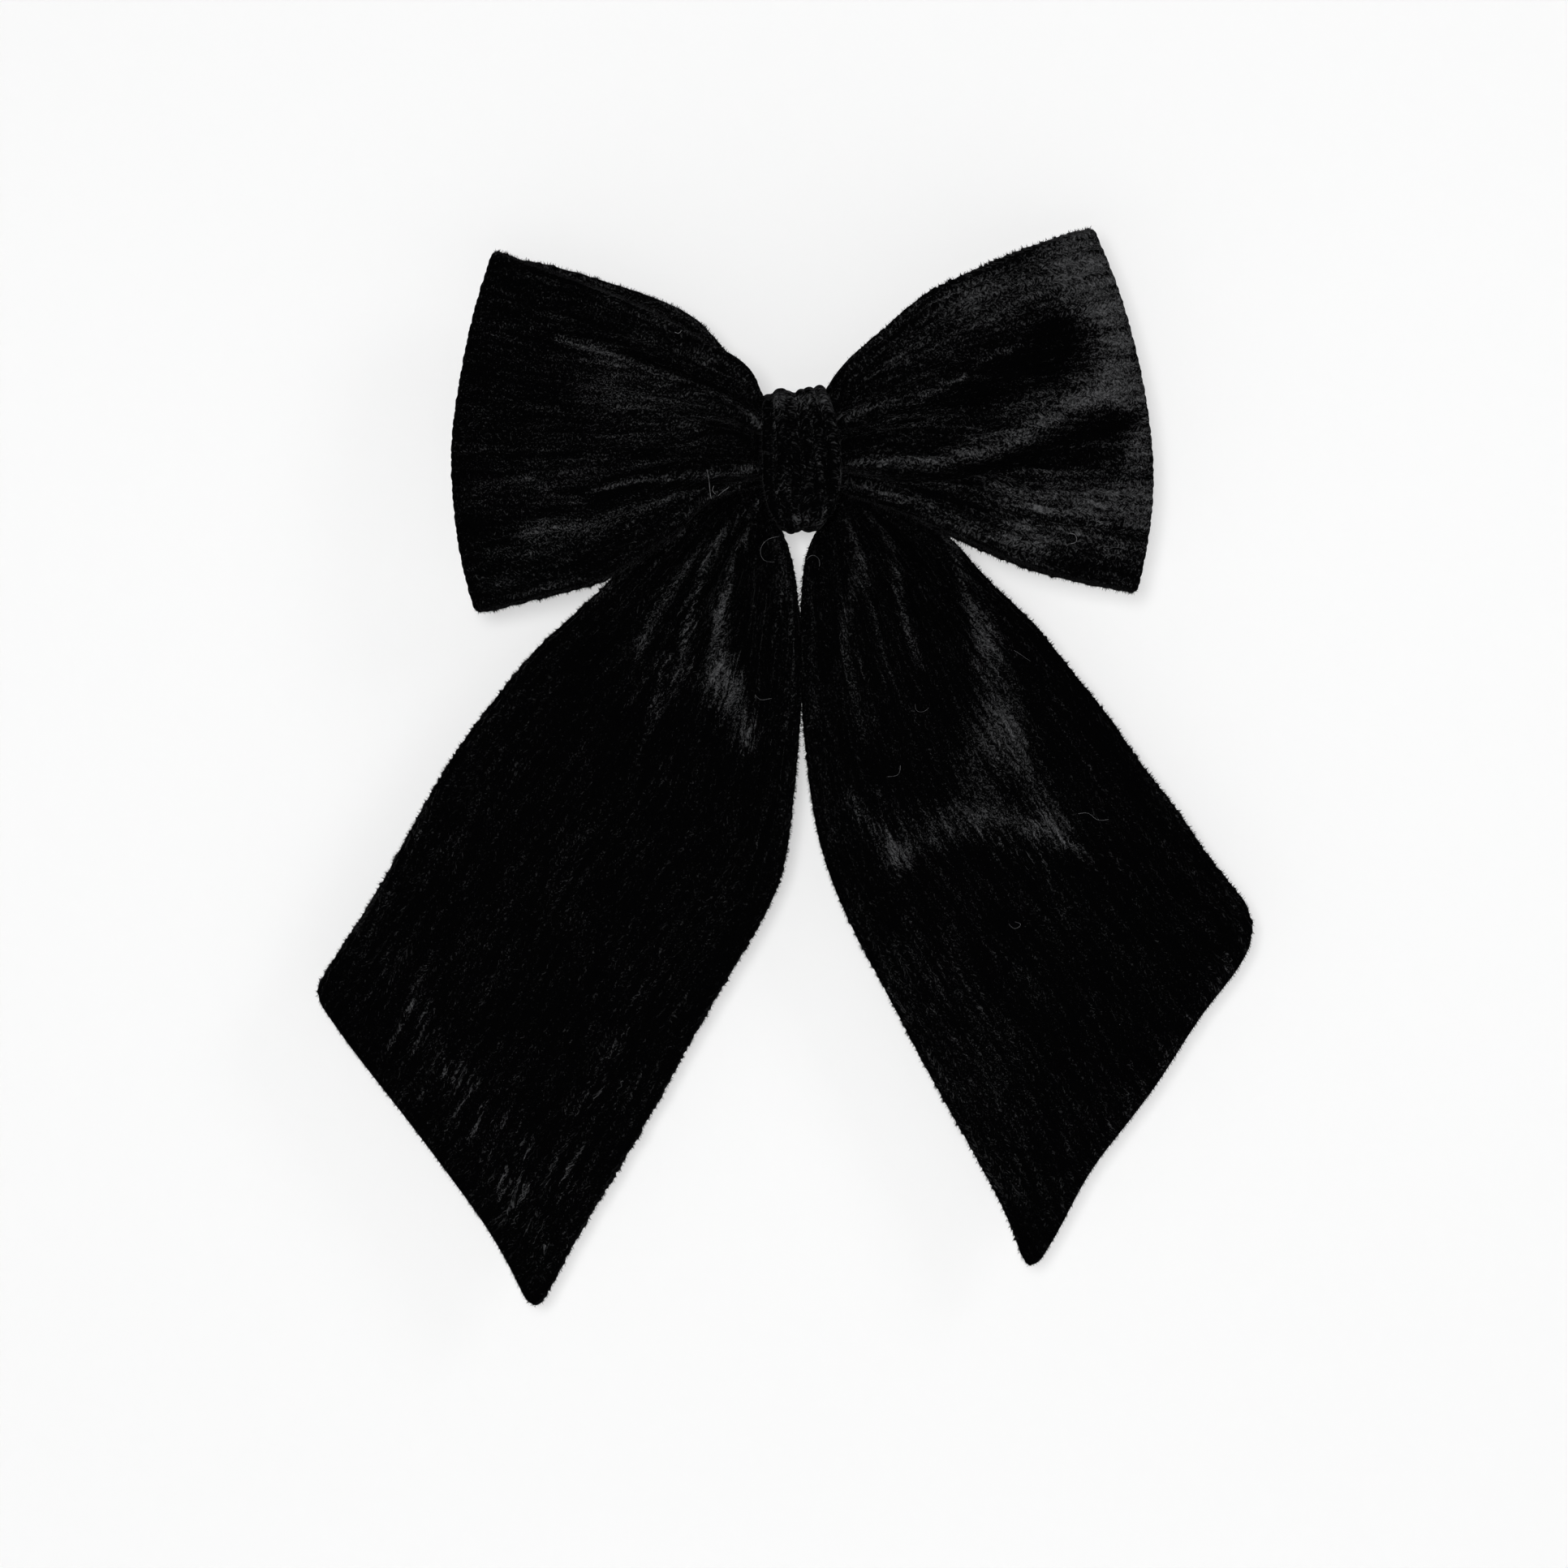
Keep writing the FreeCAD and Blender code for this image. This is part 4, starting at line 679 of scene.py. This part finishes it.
# Painted highlights on its pile, with the same numbers as for the loops.
KNOT_PAINTED_LIGHT = [
    ([(-8.4, 13), (-8.4, 1), (-8.0, -7), (-6.6, -12.2), (-4.8, -15)], (0.45, 0.4), (0.75, 0.75)),
    ([(5.3, 12.5), (7.3, 7.0), (7.9, 0), (7.6, -7)], (0.6, 0.5), (0.8, 0.6)),
    ([(5.6, -9), (4.2, -14)], (0.6, 0.6), (0.5, 0.55)),
    ([(-5.2, 12.6), (-5.2, 3.6), (-4.4, 0)], (0.6, 0.35), (0.6, 0.25)),
    ([(-3.6, -2.5), (-3.2, -9)], (0.35, 0.35), (0.3, 0.25)),
    ([(-4, 11.6), (3.5, 12.9)], (2.6, 2.6), (0.68, 0.68)),
    ([(1.2, 12), (2.4, 8.0), (2.6, 4)], (0.6, 0.5), (0.35, 0.25)),
    ([(-0.6, 12), (-0.6, 2)], (0.5, 0.5), (0.25, 0.15)),
    ([(3.6, 2), (3.9, -5)], (0.5, 0.5), (0.3, 0.3)),
    ([(-1.2, -12.8), (3.4, -13.0)], (1.5, 1.5), (0.45, 0.45)),
    ([(-7, 0), (7, 0)], (14, 14), (0.05, 0.05)),
]


def make_knot():
    rows, columns = 300, 150
    u = np.linspace(0, 1, rows)
    v = np.linspace(0, 1, columns)
    ring = Line(KNOT_RING).at(u)
    u_grid, v_grid = np.meshgrid(u, v, indexing="ij")
    reach = -ring[:, 2:3] * (1 - v_grid) + ring[:, 3:4] * v_grid
    height = np.repeat(ring[:, 1:2], columns, 1)
    height = height + KNOT_TILT * (2 * v_grid - 1) * ease(4, 13, height)
    centre = np.stack([reach, np.repeat(ring[:, :1], columns, 1), height], 2)
    out = normals_of(centre)
    out *= np.sign((out[rows // 2, columns // 2, 1] < 0) - 0.5)
    drift = v_grid + 0.012 * wander(u_grid * 10, 3.3, 31) * np.sin(math.pi * v_grid)
    pleat = np.zeros_like(v_grid)
    for place, wide, high in KNOT_PLEATS:
        swell = 1 + 0.22 * wander(u_grid * 10, 2.4, int(place * 100))
        pleat += high * swell * np.exp(-(((drift - place) / wide) ** 2))
    edges = 1.3 * (2 * v_grid - 1) ** 8
    behind = ease(-9, -12, centre[..., 1])
    pleat = KNOT_FULLNESS + (pleat - KNOT_FULLNESS) * (0.3 + 0.7 * ease(-13, -5, centre[..., 2]))
    # The nick in the bottom edge, between the tails.
    pleat -= 0.9 * np.exp(-(((v_grid - 0.56) / 0.06) ** 2)) * ease(-10, -14, centre[..., 2])
    # Soft crosswise lumps where the band was pulled tight.
    lumps = 0.22 * wander(u_grid * 60 + 5 * v_grid, 9, 33)
    rise = (pleat - KNOT_FULLNESS - edges) * (0.25 + 0.75 * behind) + lumps * behind
    grid = centre + out * rise[..., None]
    # Painted highlights on the front of the knot band.
    pile_lay_and_painted_light = soft_marks(grid[..., 0], grid[..., 2], KNOT_PAINTED_LIGHT) * behind
    return build_ribbon("velvet_knot", grid, pile_lay_and_painted_light, np.zeros_like(pile_lay_and_painted_light), 41)


# ---------------------------------------------------------------- lint

# Loose fibres on the pile: what they lie on, then points in mm.
LINT = [
    ("loop_left", [(-20.4, -2.9), (-20.0, -4.8), (-19.8, -7.0), (-19.5, -9.0)]),
    ("loop_left", [(-15.8, -6.5), (-16.9, -7.3), (-18.0, -8.3)]),
    ("loop_left", [(-18.9, -6.2), (-19.2, -7.2), (-18.6, -8.0)]),
    ("loop_left", [(-27.2, 26.4), (-26.4, 26.2), (-25.8, 26.8)]),
    ("loop_right", [(57.4, -16.4), (58.6, -16.8), (58.8, -18.2), (57.6, -18.6)]),
    ("tail_left", [(-10.2, -50.8), (-8.9, -51.9), (-7.6, -51.8), (-6.6, -51.6)]),
    ("tail_left", [(-4.9, -16.4), (-7.6, -17.2), (-9.0, -19.5), (-8.3, -21.5), (-6.0, -22.0)]),
    ("tail_right", [(24.6, -52.9), (25.0, -54.3), (26.6, -54.4), (27.6, -53.6)]),
    ("tail_right", [(60.2, -76.7), (62.4, -76.6), (64.2, -77.9), (66.8, -77.9)]),
    ("tail_right", [(45.0, -100.6), (46.6, -101.6), (47.6, -100.8), (46.4, -100.2)]),
    ("tail_right", [(46.0, -41.2), (47.6, -42.2), (49.7, -43.6)]),
    ("tail_right", [(1.0, -21.5), (2.3, -20.5), (3.7, -21.4), (3.8, -23.0)]),
    ("tail_right", [(21.4, -66.2), (21.0, -68.0), (18.6, -68.6)]),
]
# Half the thickness of the fibres on the loops and on the tails, in mm.
LINT_RADIUS = {"loop": 0.055, "tail": 0.03}
# How far around a fibre the pile that it lies on is felt, in mm.
LINT_REACH = 0.8


def lay_fibre(points, grid, radius):
    """A fine tube through points of the front view, lying on a ribbon's front layer."""
    line = Line(points).at(np.linspace(0, 1, 14)) * MM
    flat = grid[..., [0, 2]].reshape(-1, 2)
    around = [np.linalg.norm(flat - spot, axis=1) < LINT_REACH * MM for spot in line]
    lift = (HALF_THICK + 0.2) * MM
    depth = np.array([grid[..., 1].reshape(-1)[near].min() for near in around]) - lift
    depth = np.convolve(np.pad(depth, 2, mode="edge"), np.ones(5) / 5, mode="valid")
    centre = np.stack([line[:, 0], depth, line[:, 1]], 1)
    way = np.gradient(centre, axis=0)
    side = np.cross(way, [0, 1, 0])
    side /= np.maximum(np.linalg.norm(side, axis=1, keepdims=True), 1e-12)
    up = np.cross(side, way)
    up /= np.maximum(np.linalg.norm(up, axis=1, keepdims=True), 1e-12)
    turns = [0, 2 * math.pi / 3, 4 * math.pi / 3]
    rings = np.stack([centre + radius * (side * math.cos(a) + up * math.sin(a)) for a in turns], 1)
    index = np.arange(rings.shape[0] * 3).reshape(-1, 3)
    after = np.roll(index, -1, axis=1)
    quads = np.stack([index[:-1], index[1:], after[1:], after[:-1]], 2).reshape(-1, 4)
    return rings.reshape(-1, 3), quads


def make_lint(carrier, grid):
    points, faces, count = [], [], 0
    radius = LINT_RADIUS[carrier.split("_")[0]] * MM
    for where, line in LINT:
        if where == carrier:
            new_points, new_faces = lay_fibre(line, grid, radius)
            points.append(new_points)
            faces.append(new_faces + count)
            count += len(new_points)
    return new_mesh(f"lint_{carrier}", np.concatenate(points), np.concatenate(faces))


# ---------------------------------------------------------------- materials


class Shader:
    """A procedural material on the principled shader, and short ways to add its nodes."""

    def __init__(self, name):
        self.material = bpy.data.materials.new(name)
        self.material.use_nodes = True
        self.tree = self.material.node_tree
        self.surface = self.tree.nodes["Principled BSDF"]

    def node(self, kind, settings=None, **inputs):
        made = self.tree.nodes.new("ShaderNode" + kind)
        for key, value in (settings or {}).items():
            setattr(made, key, value)
        for key, value in inputs.items():
            self.feed(made.inputs[key.replace("_", " ")], value)
        return made

    def feed(self, socket, value):
        if isinstance(value, bpy.types.NodeSocket):
            self.tree.links.new(value, socket)
        else:
            socket.default_value = value

    def math(self, operation, a, b=0.5):
        made = self.node("Math", {"operation": operation})
        self.feed(made.inputs[0], a)
        self.feed(made.inputs[1], b)
        return made.outputs[0]

    def fact(self, name):
        """A point attribute of the mesh: its vector and its single number."""
        made = self.node("Attribute", {"attribute_name": name})
        return made.outputs["Vector"], made.outputs["Fac"]

    def stretched(self, vector, scale):
        made = self.node("VectorMath", {"operation": "MULTIPLY"})
        self.feed(made.inputs[0], vector)
        made.inputs[1].default_value = scale
        return made.outputs[0]

    def noise(self, vector, detail=2.0, roughness=0.5, low=0.3, high=0.7):
        """Noise spread to 0..1 between low and high."""
        made = self.node("TexNoise", Vector=vector, Scale=1.0, Detail=detail, Roughness=roughness)
        spread = self.node("MapRange", From_Min=low, From_Max=high)
        self.feed(spread.inputs["Value"], made.outputs["Fac"])
        return spread.outputs["Result"]

    def colour_between(self, factor, dark, bright):
        ramp = self.node("ValToRGB")
        ramp.color_ramp.elements[0].color = (*dark, 1)
        ramp.color_ramp.elements[1].color = (*bright, 1)
        self.feed(ramp.inputs["Fac"], factor)
        return ramp.outputs["Color"]

    def set(self, **inputs):
        for key, value in inputs.items():
            self.feed(self.surface.inputs[key.replace("_", " ")], value)

    def bump(self, height, distance, strength=1.0):
        made = self.node("Bump", Height=height, Distance=distance, Strength=strength)
        self.set(Normal=made.outputs["Normal"])


def velvet_material():
    """Black velvet: near black, with a fine random grain of fibres along the ribbon's grain. Highlights and
    shade are painted into its colour by place, partly the lay of brushed pile, lighting more and more of the
    fibres as dashes along the grain."""
    s = Shader("black_velvet")
    ribbon, _ = s.fact("ribbon")
    _, pile_lay_and_painted_light = s.fact("pile_lay_and_painted_light")
    bend = s.node("TexNoise", Vector=s.stretched(ribbon, (500, 500, 1)), Scale=1.0, Detail=1.0)
    bent = s.node("VectorMath", {"operation": "MULTIPLY_ADD"})
    s.feed(bent.inputs[0], bend.outputs["Color"])
    bent.inputs[1].default_value = (0.0009, 0.0009, 0)
    s.feed(bent.inputs[2], ribbon)
    place = bent.outputs[0]
    ribs = s.noise(s.stretched(place, (80, 900, 1)), 3, 0.55, 0.34, 0.68)
    dashes = s.noise(s.stretched(place, (1100, 3000, 1)), 2, 0.6, 0.36, 0.66)
    grain = s.noise(s.stretched(place, (2900, 3500, 1)), 1, 0.5, 0.38, 0.64)
    fibres = s.math("MULTIPLY", ribs, 0.30)
    fibres = s.math("ADD", fibres, s.math("MULTIPLY", dashes, 0.34))
    fibres = s.math("ADD", fibres, s.math("MULTIPLY", grain, 0.42))
    _, painted_dash_zones = s.fact("dashes")
    long_dashes = s.noise(s.stretched(place, (150, 1150, 1)), 2, 0.5, 0.55, 0.67)
    # Painted highlights and painted shade, plus painted highlight dashes where the dash zones say.
    brushed = s.math("ADD", pile_lay_and_painted_light, s.math("MULTIPLY", s.math("MULTIPLY", long_dashes, painted_dash_zones), 0.95))
    # The fibre grain, lifted by the painted light, sets the base colour.
    grain_and_painted_light = s.node("MapRange", From_Min=0.64, From_Max=1.42)
    s.feed(grain_and_painted_light.inputs["Value"], s.math("ADD", fibres, s.math("MULTIPLY", brushed, 0.48)))
    tone = s.math("POWER", grain_and_painted_light.outputs["Result"], 1.5)
    s.set(Base_Color=s.colour_between(tone, (0.0010, 0.0010, 0.0011), (0.088, 0.089, 0.092)))
    s.set(Roughness=0.95, Specular_IOR_Level=0.0, Sheen_Weight=0.03, Sheen_Roughness=0.15)
    s.surface.inputs["Sheen Tint"].default_value = (0.85, 0.85, 0.88, 1)
    s.bump(fibres, 0.0004, 0.5)
    return s.material


def pile_material():
    """The fibres of the fringe, a little uneven from one to the next."""
    s = Shader("velvet_pile")
    place = s.node("TexCoord").outputs["Object"]
    mottle = s.noise(s.stretched(place, (900, 900, 900)), 1)
    s.set(Base_Color=s.colour_between(mottle, (0.002, 0.002, 0.002), (0.012, 0.012, 0.013)))
    s.set(Roughness=s.math("ADD", s.math("MULTIPLY", mottle, 0.1), 0.8), Specular_IOR_Level=0.1)
    return s.material


def lint_material():
    s = Shader("grey_lint")
    place = s.node("TexCoord").outputs["Object"]
    mottle = s.noise(s.stretched(place, (600, 600, 600)), 1)
    s.set(Base_Color=s.colour_between(mottle, (0.07, 0.07, 0.075), (0.26, 0.26, 0.27)), Roughness=0.8)
    return s.material


def thread_material():
    """Black polyester thread with its twist."""
    s = Shader("sewing_thread")
    place = s.node("TexCoord").outputs["Object"]
    wave = s.node("TexWave", Vector=place, Scale=900.0, Distortion=1.5)
    s.set(Base_Color=s.colour_between(wave.outputs["Fac"], (0.006, 0.006, 0.006), (0.03, 0.03, 0.032)))
    s.set(Roughness=0.55)
    s.bump(wave.outputs["Fac"], 0.00005, 0.6)
    return s.material


def steel_material():
    """Nickel-plated spring steel, brushed along the barrette, with faint handling marks."""
    s = Shader("nickel_steel")
    place = s.node("TexCoord").outputs["Object"]
    brushed = s.noise(s.stretched(place, (60, 3200, 3600)), 3, 0.6)
    marks = s.noise(s.stretched(place, (420, 420, 420)), 3, 0.6, 0.45, 0.75)
    tone = s.math("ADD", s.math("MULTIPLY", brushed, 0.45), s.math("MULTIPLY", marks, 0.4))
    s.set(Base_Color=s.colour_between(tone, (0.50, 0.50, 0.50), (0.70, 0.69, 0.68)), Metallic=1.0)
    rough = s.math("ADD", s.math("MULTIPLY", brushed, 0.08), 0.2)
    s.set(Roughness=s.math("ADD", s.math("MULTIPLY", marks, 0.14), rough))
    s.bump(brushed, 0.00002, 0.3)
    return s.material


def paint(obj, material):
    obj.data.materials.clear()
    obj.data.materials.append(material)


# ---------------------------------------------------------------- the bow

velvet, pile, lint = velvet_material(), pile_material(), lint_material()
thread, steel = thread_material(), steel_material()


def dress(pieces, carrier):
    """Finish of a ribbon, its fringe and its lint. Returns the pieces that go with the ribbon."""
    ribbon, fringe, grid = pieces
    paint(ribbon, velvet)
    paint(fringe, pile)
    extra = [fringe]
    if any(where == carrier for where, _ in LINT):
        fibres = make_lint(carrier, grid)
        paint(fibres, lint)
        extra.append(fibres)
    return ribbon, extra


def add_loops():
    for name, seed in (("left", 11), ("right", 17)):
        ribbon, extra = dress(make_loop(name, seed), f"loop_{name}")
        for piece in (ribbon, *extra):
            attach(piece, "bow")
        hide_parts("loop_band")


def add_tails():
    for name, seed in (("left", 23), ("right", 29)):
        ribbon, extra = dress(make_tail(name, seed), f"tail_{name}")
        for piece in (ribbon, *extra):
            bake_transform(piece)
        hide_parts(f"tail_{name}", "tail_fold")


def add_knot():
    ribbon, extra = dress(make_knot(), "knot")
    for piece in (ribbon, *extra):
        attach(piece, "bow")
    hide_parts("knot_band")


def finish_cad_nodes():
    for name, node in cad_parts.items():
        if "thread" in name or "stitches" in name:
            paint(node, thread)
        elif not node.hide_render:
            paint(node, steel)


add_loops()
add_tails()
add_knot()
finish_cad_nodes()

# ---------------------------------------------------------------- stage, light, camera

PALE = (0.93, 0.93, 0.93)
VIEW_CENTRE = (-3.87 * MM, -70.2 * MM)
VIEW_WIDTH = 340.1 * MM
LENS = 110.0
SENSOR = 36.0
BACKDROP_DEPTH = 0.0118
# How pale the sheet behind the bow is, and how much light it gives itself.
BACKDROP_TONE, BACKDROP_GLOW = 0.55, 0.465
FLOOR_HEIGHT = -0.2500


def stage_plane(name, places):
    obj = new_mesh(name, np.array(places, float), np.array([[0, 1, 2, 3]]))
    return obj


def add_stage():
    """A pale floor below the bow, and a pale sheet behind it that is clear from behind."""
    s = Shader("pale_paper")
    place = s.node("TexCoord").outputs["Object"]
    tooth = s.noise(s.stretched(place, (900, 900, 900)), 2)
    s.set(Base_Color=s.colour_between(tooth, PALE, tuple(c * 1.003 for c in PALE)))
    s.set(Roughness=0.95, Specular_IOR_Level=0.0)
    s.bump(tooth, 0.00002, 0.2)
    wide, low, top = 1.2, FLOOR_HEIGHT + 0.001, 0.8
    corners = ((-wide, -wide), (wide, -wide), (wide, wide), (-wide, wide))
    floor = stage_plane("floor", [(x, y, FLOOR_HEIGHT) for x, y in corners])
    paint(floor, s.material)

    b = Shader("pale_backdrop")
    b.set(Base_Color=(*[BACKDROP_TONE] * 3, 1), Roughness=0.95, Specular_IOR_Level=0.0)
    b.set(Emission_Color=(1, 1, 1, 1), Emission_Strength=BACKDROP_GLOW)
    clear = b.node("BsdfTransparent")
    mix = b.node("MixShader")
    behind = b.node("NewGeometry").outputs["Backfacing"]
    output = b.tree.nodes["Material Output"]
    for socket, value in zip(mix.inputs, (behind, b.surface.outputs[0], clear.outputs[0])):
        b.feed(socket, value)
    b.feed(output.inputs["Surface"], mix.outputs[0])
    places = [(x, BACKDROP_DEPTH, low if y < 0 else top) for x, y in corners]
    backdrop = stage_plane("backdrop", places)
    paint(backdrop, b.material)


def aim(obj, target):
    way = np.array(target, float) - np.array(obj.location, float)
    flat = math.hypot(way[0], way[1])
    obj.rotation_euler = (math.atan2(flat, -way[2]), 0, math.atan2(way[1], way[0]) - math.pi / 2)


def add_light(name, place, size, power, target=(0, 0, -0.06)):
    data = bpy.data.lights.new(name, "AREA")
    data.shape, data.size, data.energy = "DISK", size, power
    obj = bpy.data.objects.new(name, data)
    bpy.context.scene.collection.objects.link(obj)
    obj.location = place
    aim(obj, target)


def add_lights():
    world = bpy.data.worlds.new("soft_studio")
    bpy.context.scene.world = world
    world.use_nodes = True
    background = world.node_tree.nodes["Background"]
    background.inputs["Color"].default_value = (1, 1, 1, 1)
    background.inputs["Strength"].default_value = 0.10
    add_light("key_left", (-0.09, -1.25, 0.0), 0.25, 8.8)
    add_light("soft_right", (0.9, -0.8, 0.5), 0.5, 2.0)


def add_camera():
    data = bpy.data.cameras.new("camera")
    data.lens, data.sensor_width = LENS, SENSOR
    data.clip_start, data.clip_end = 0.01, 20
    obj = bpy.data.objects.new("camera", data)
    bpy.context.scene.collection.objects.link(obj)
    front = -0.012
    obj.location = (VIEW_CENTRE[0], front - VIEW_WIDTH * LENS / SENSOR, VIEW_CENTRE[1])
    obj.rotation_euler = (math.pi / 2, 0, 0)
    bpy.context.scene.camera = obj


add_stage()
add_lights()
add_camera()
bpy.context.scene.view_settings.view_transform = "Standard"
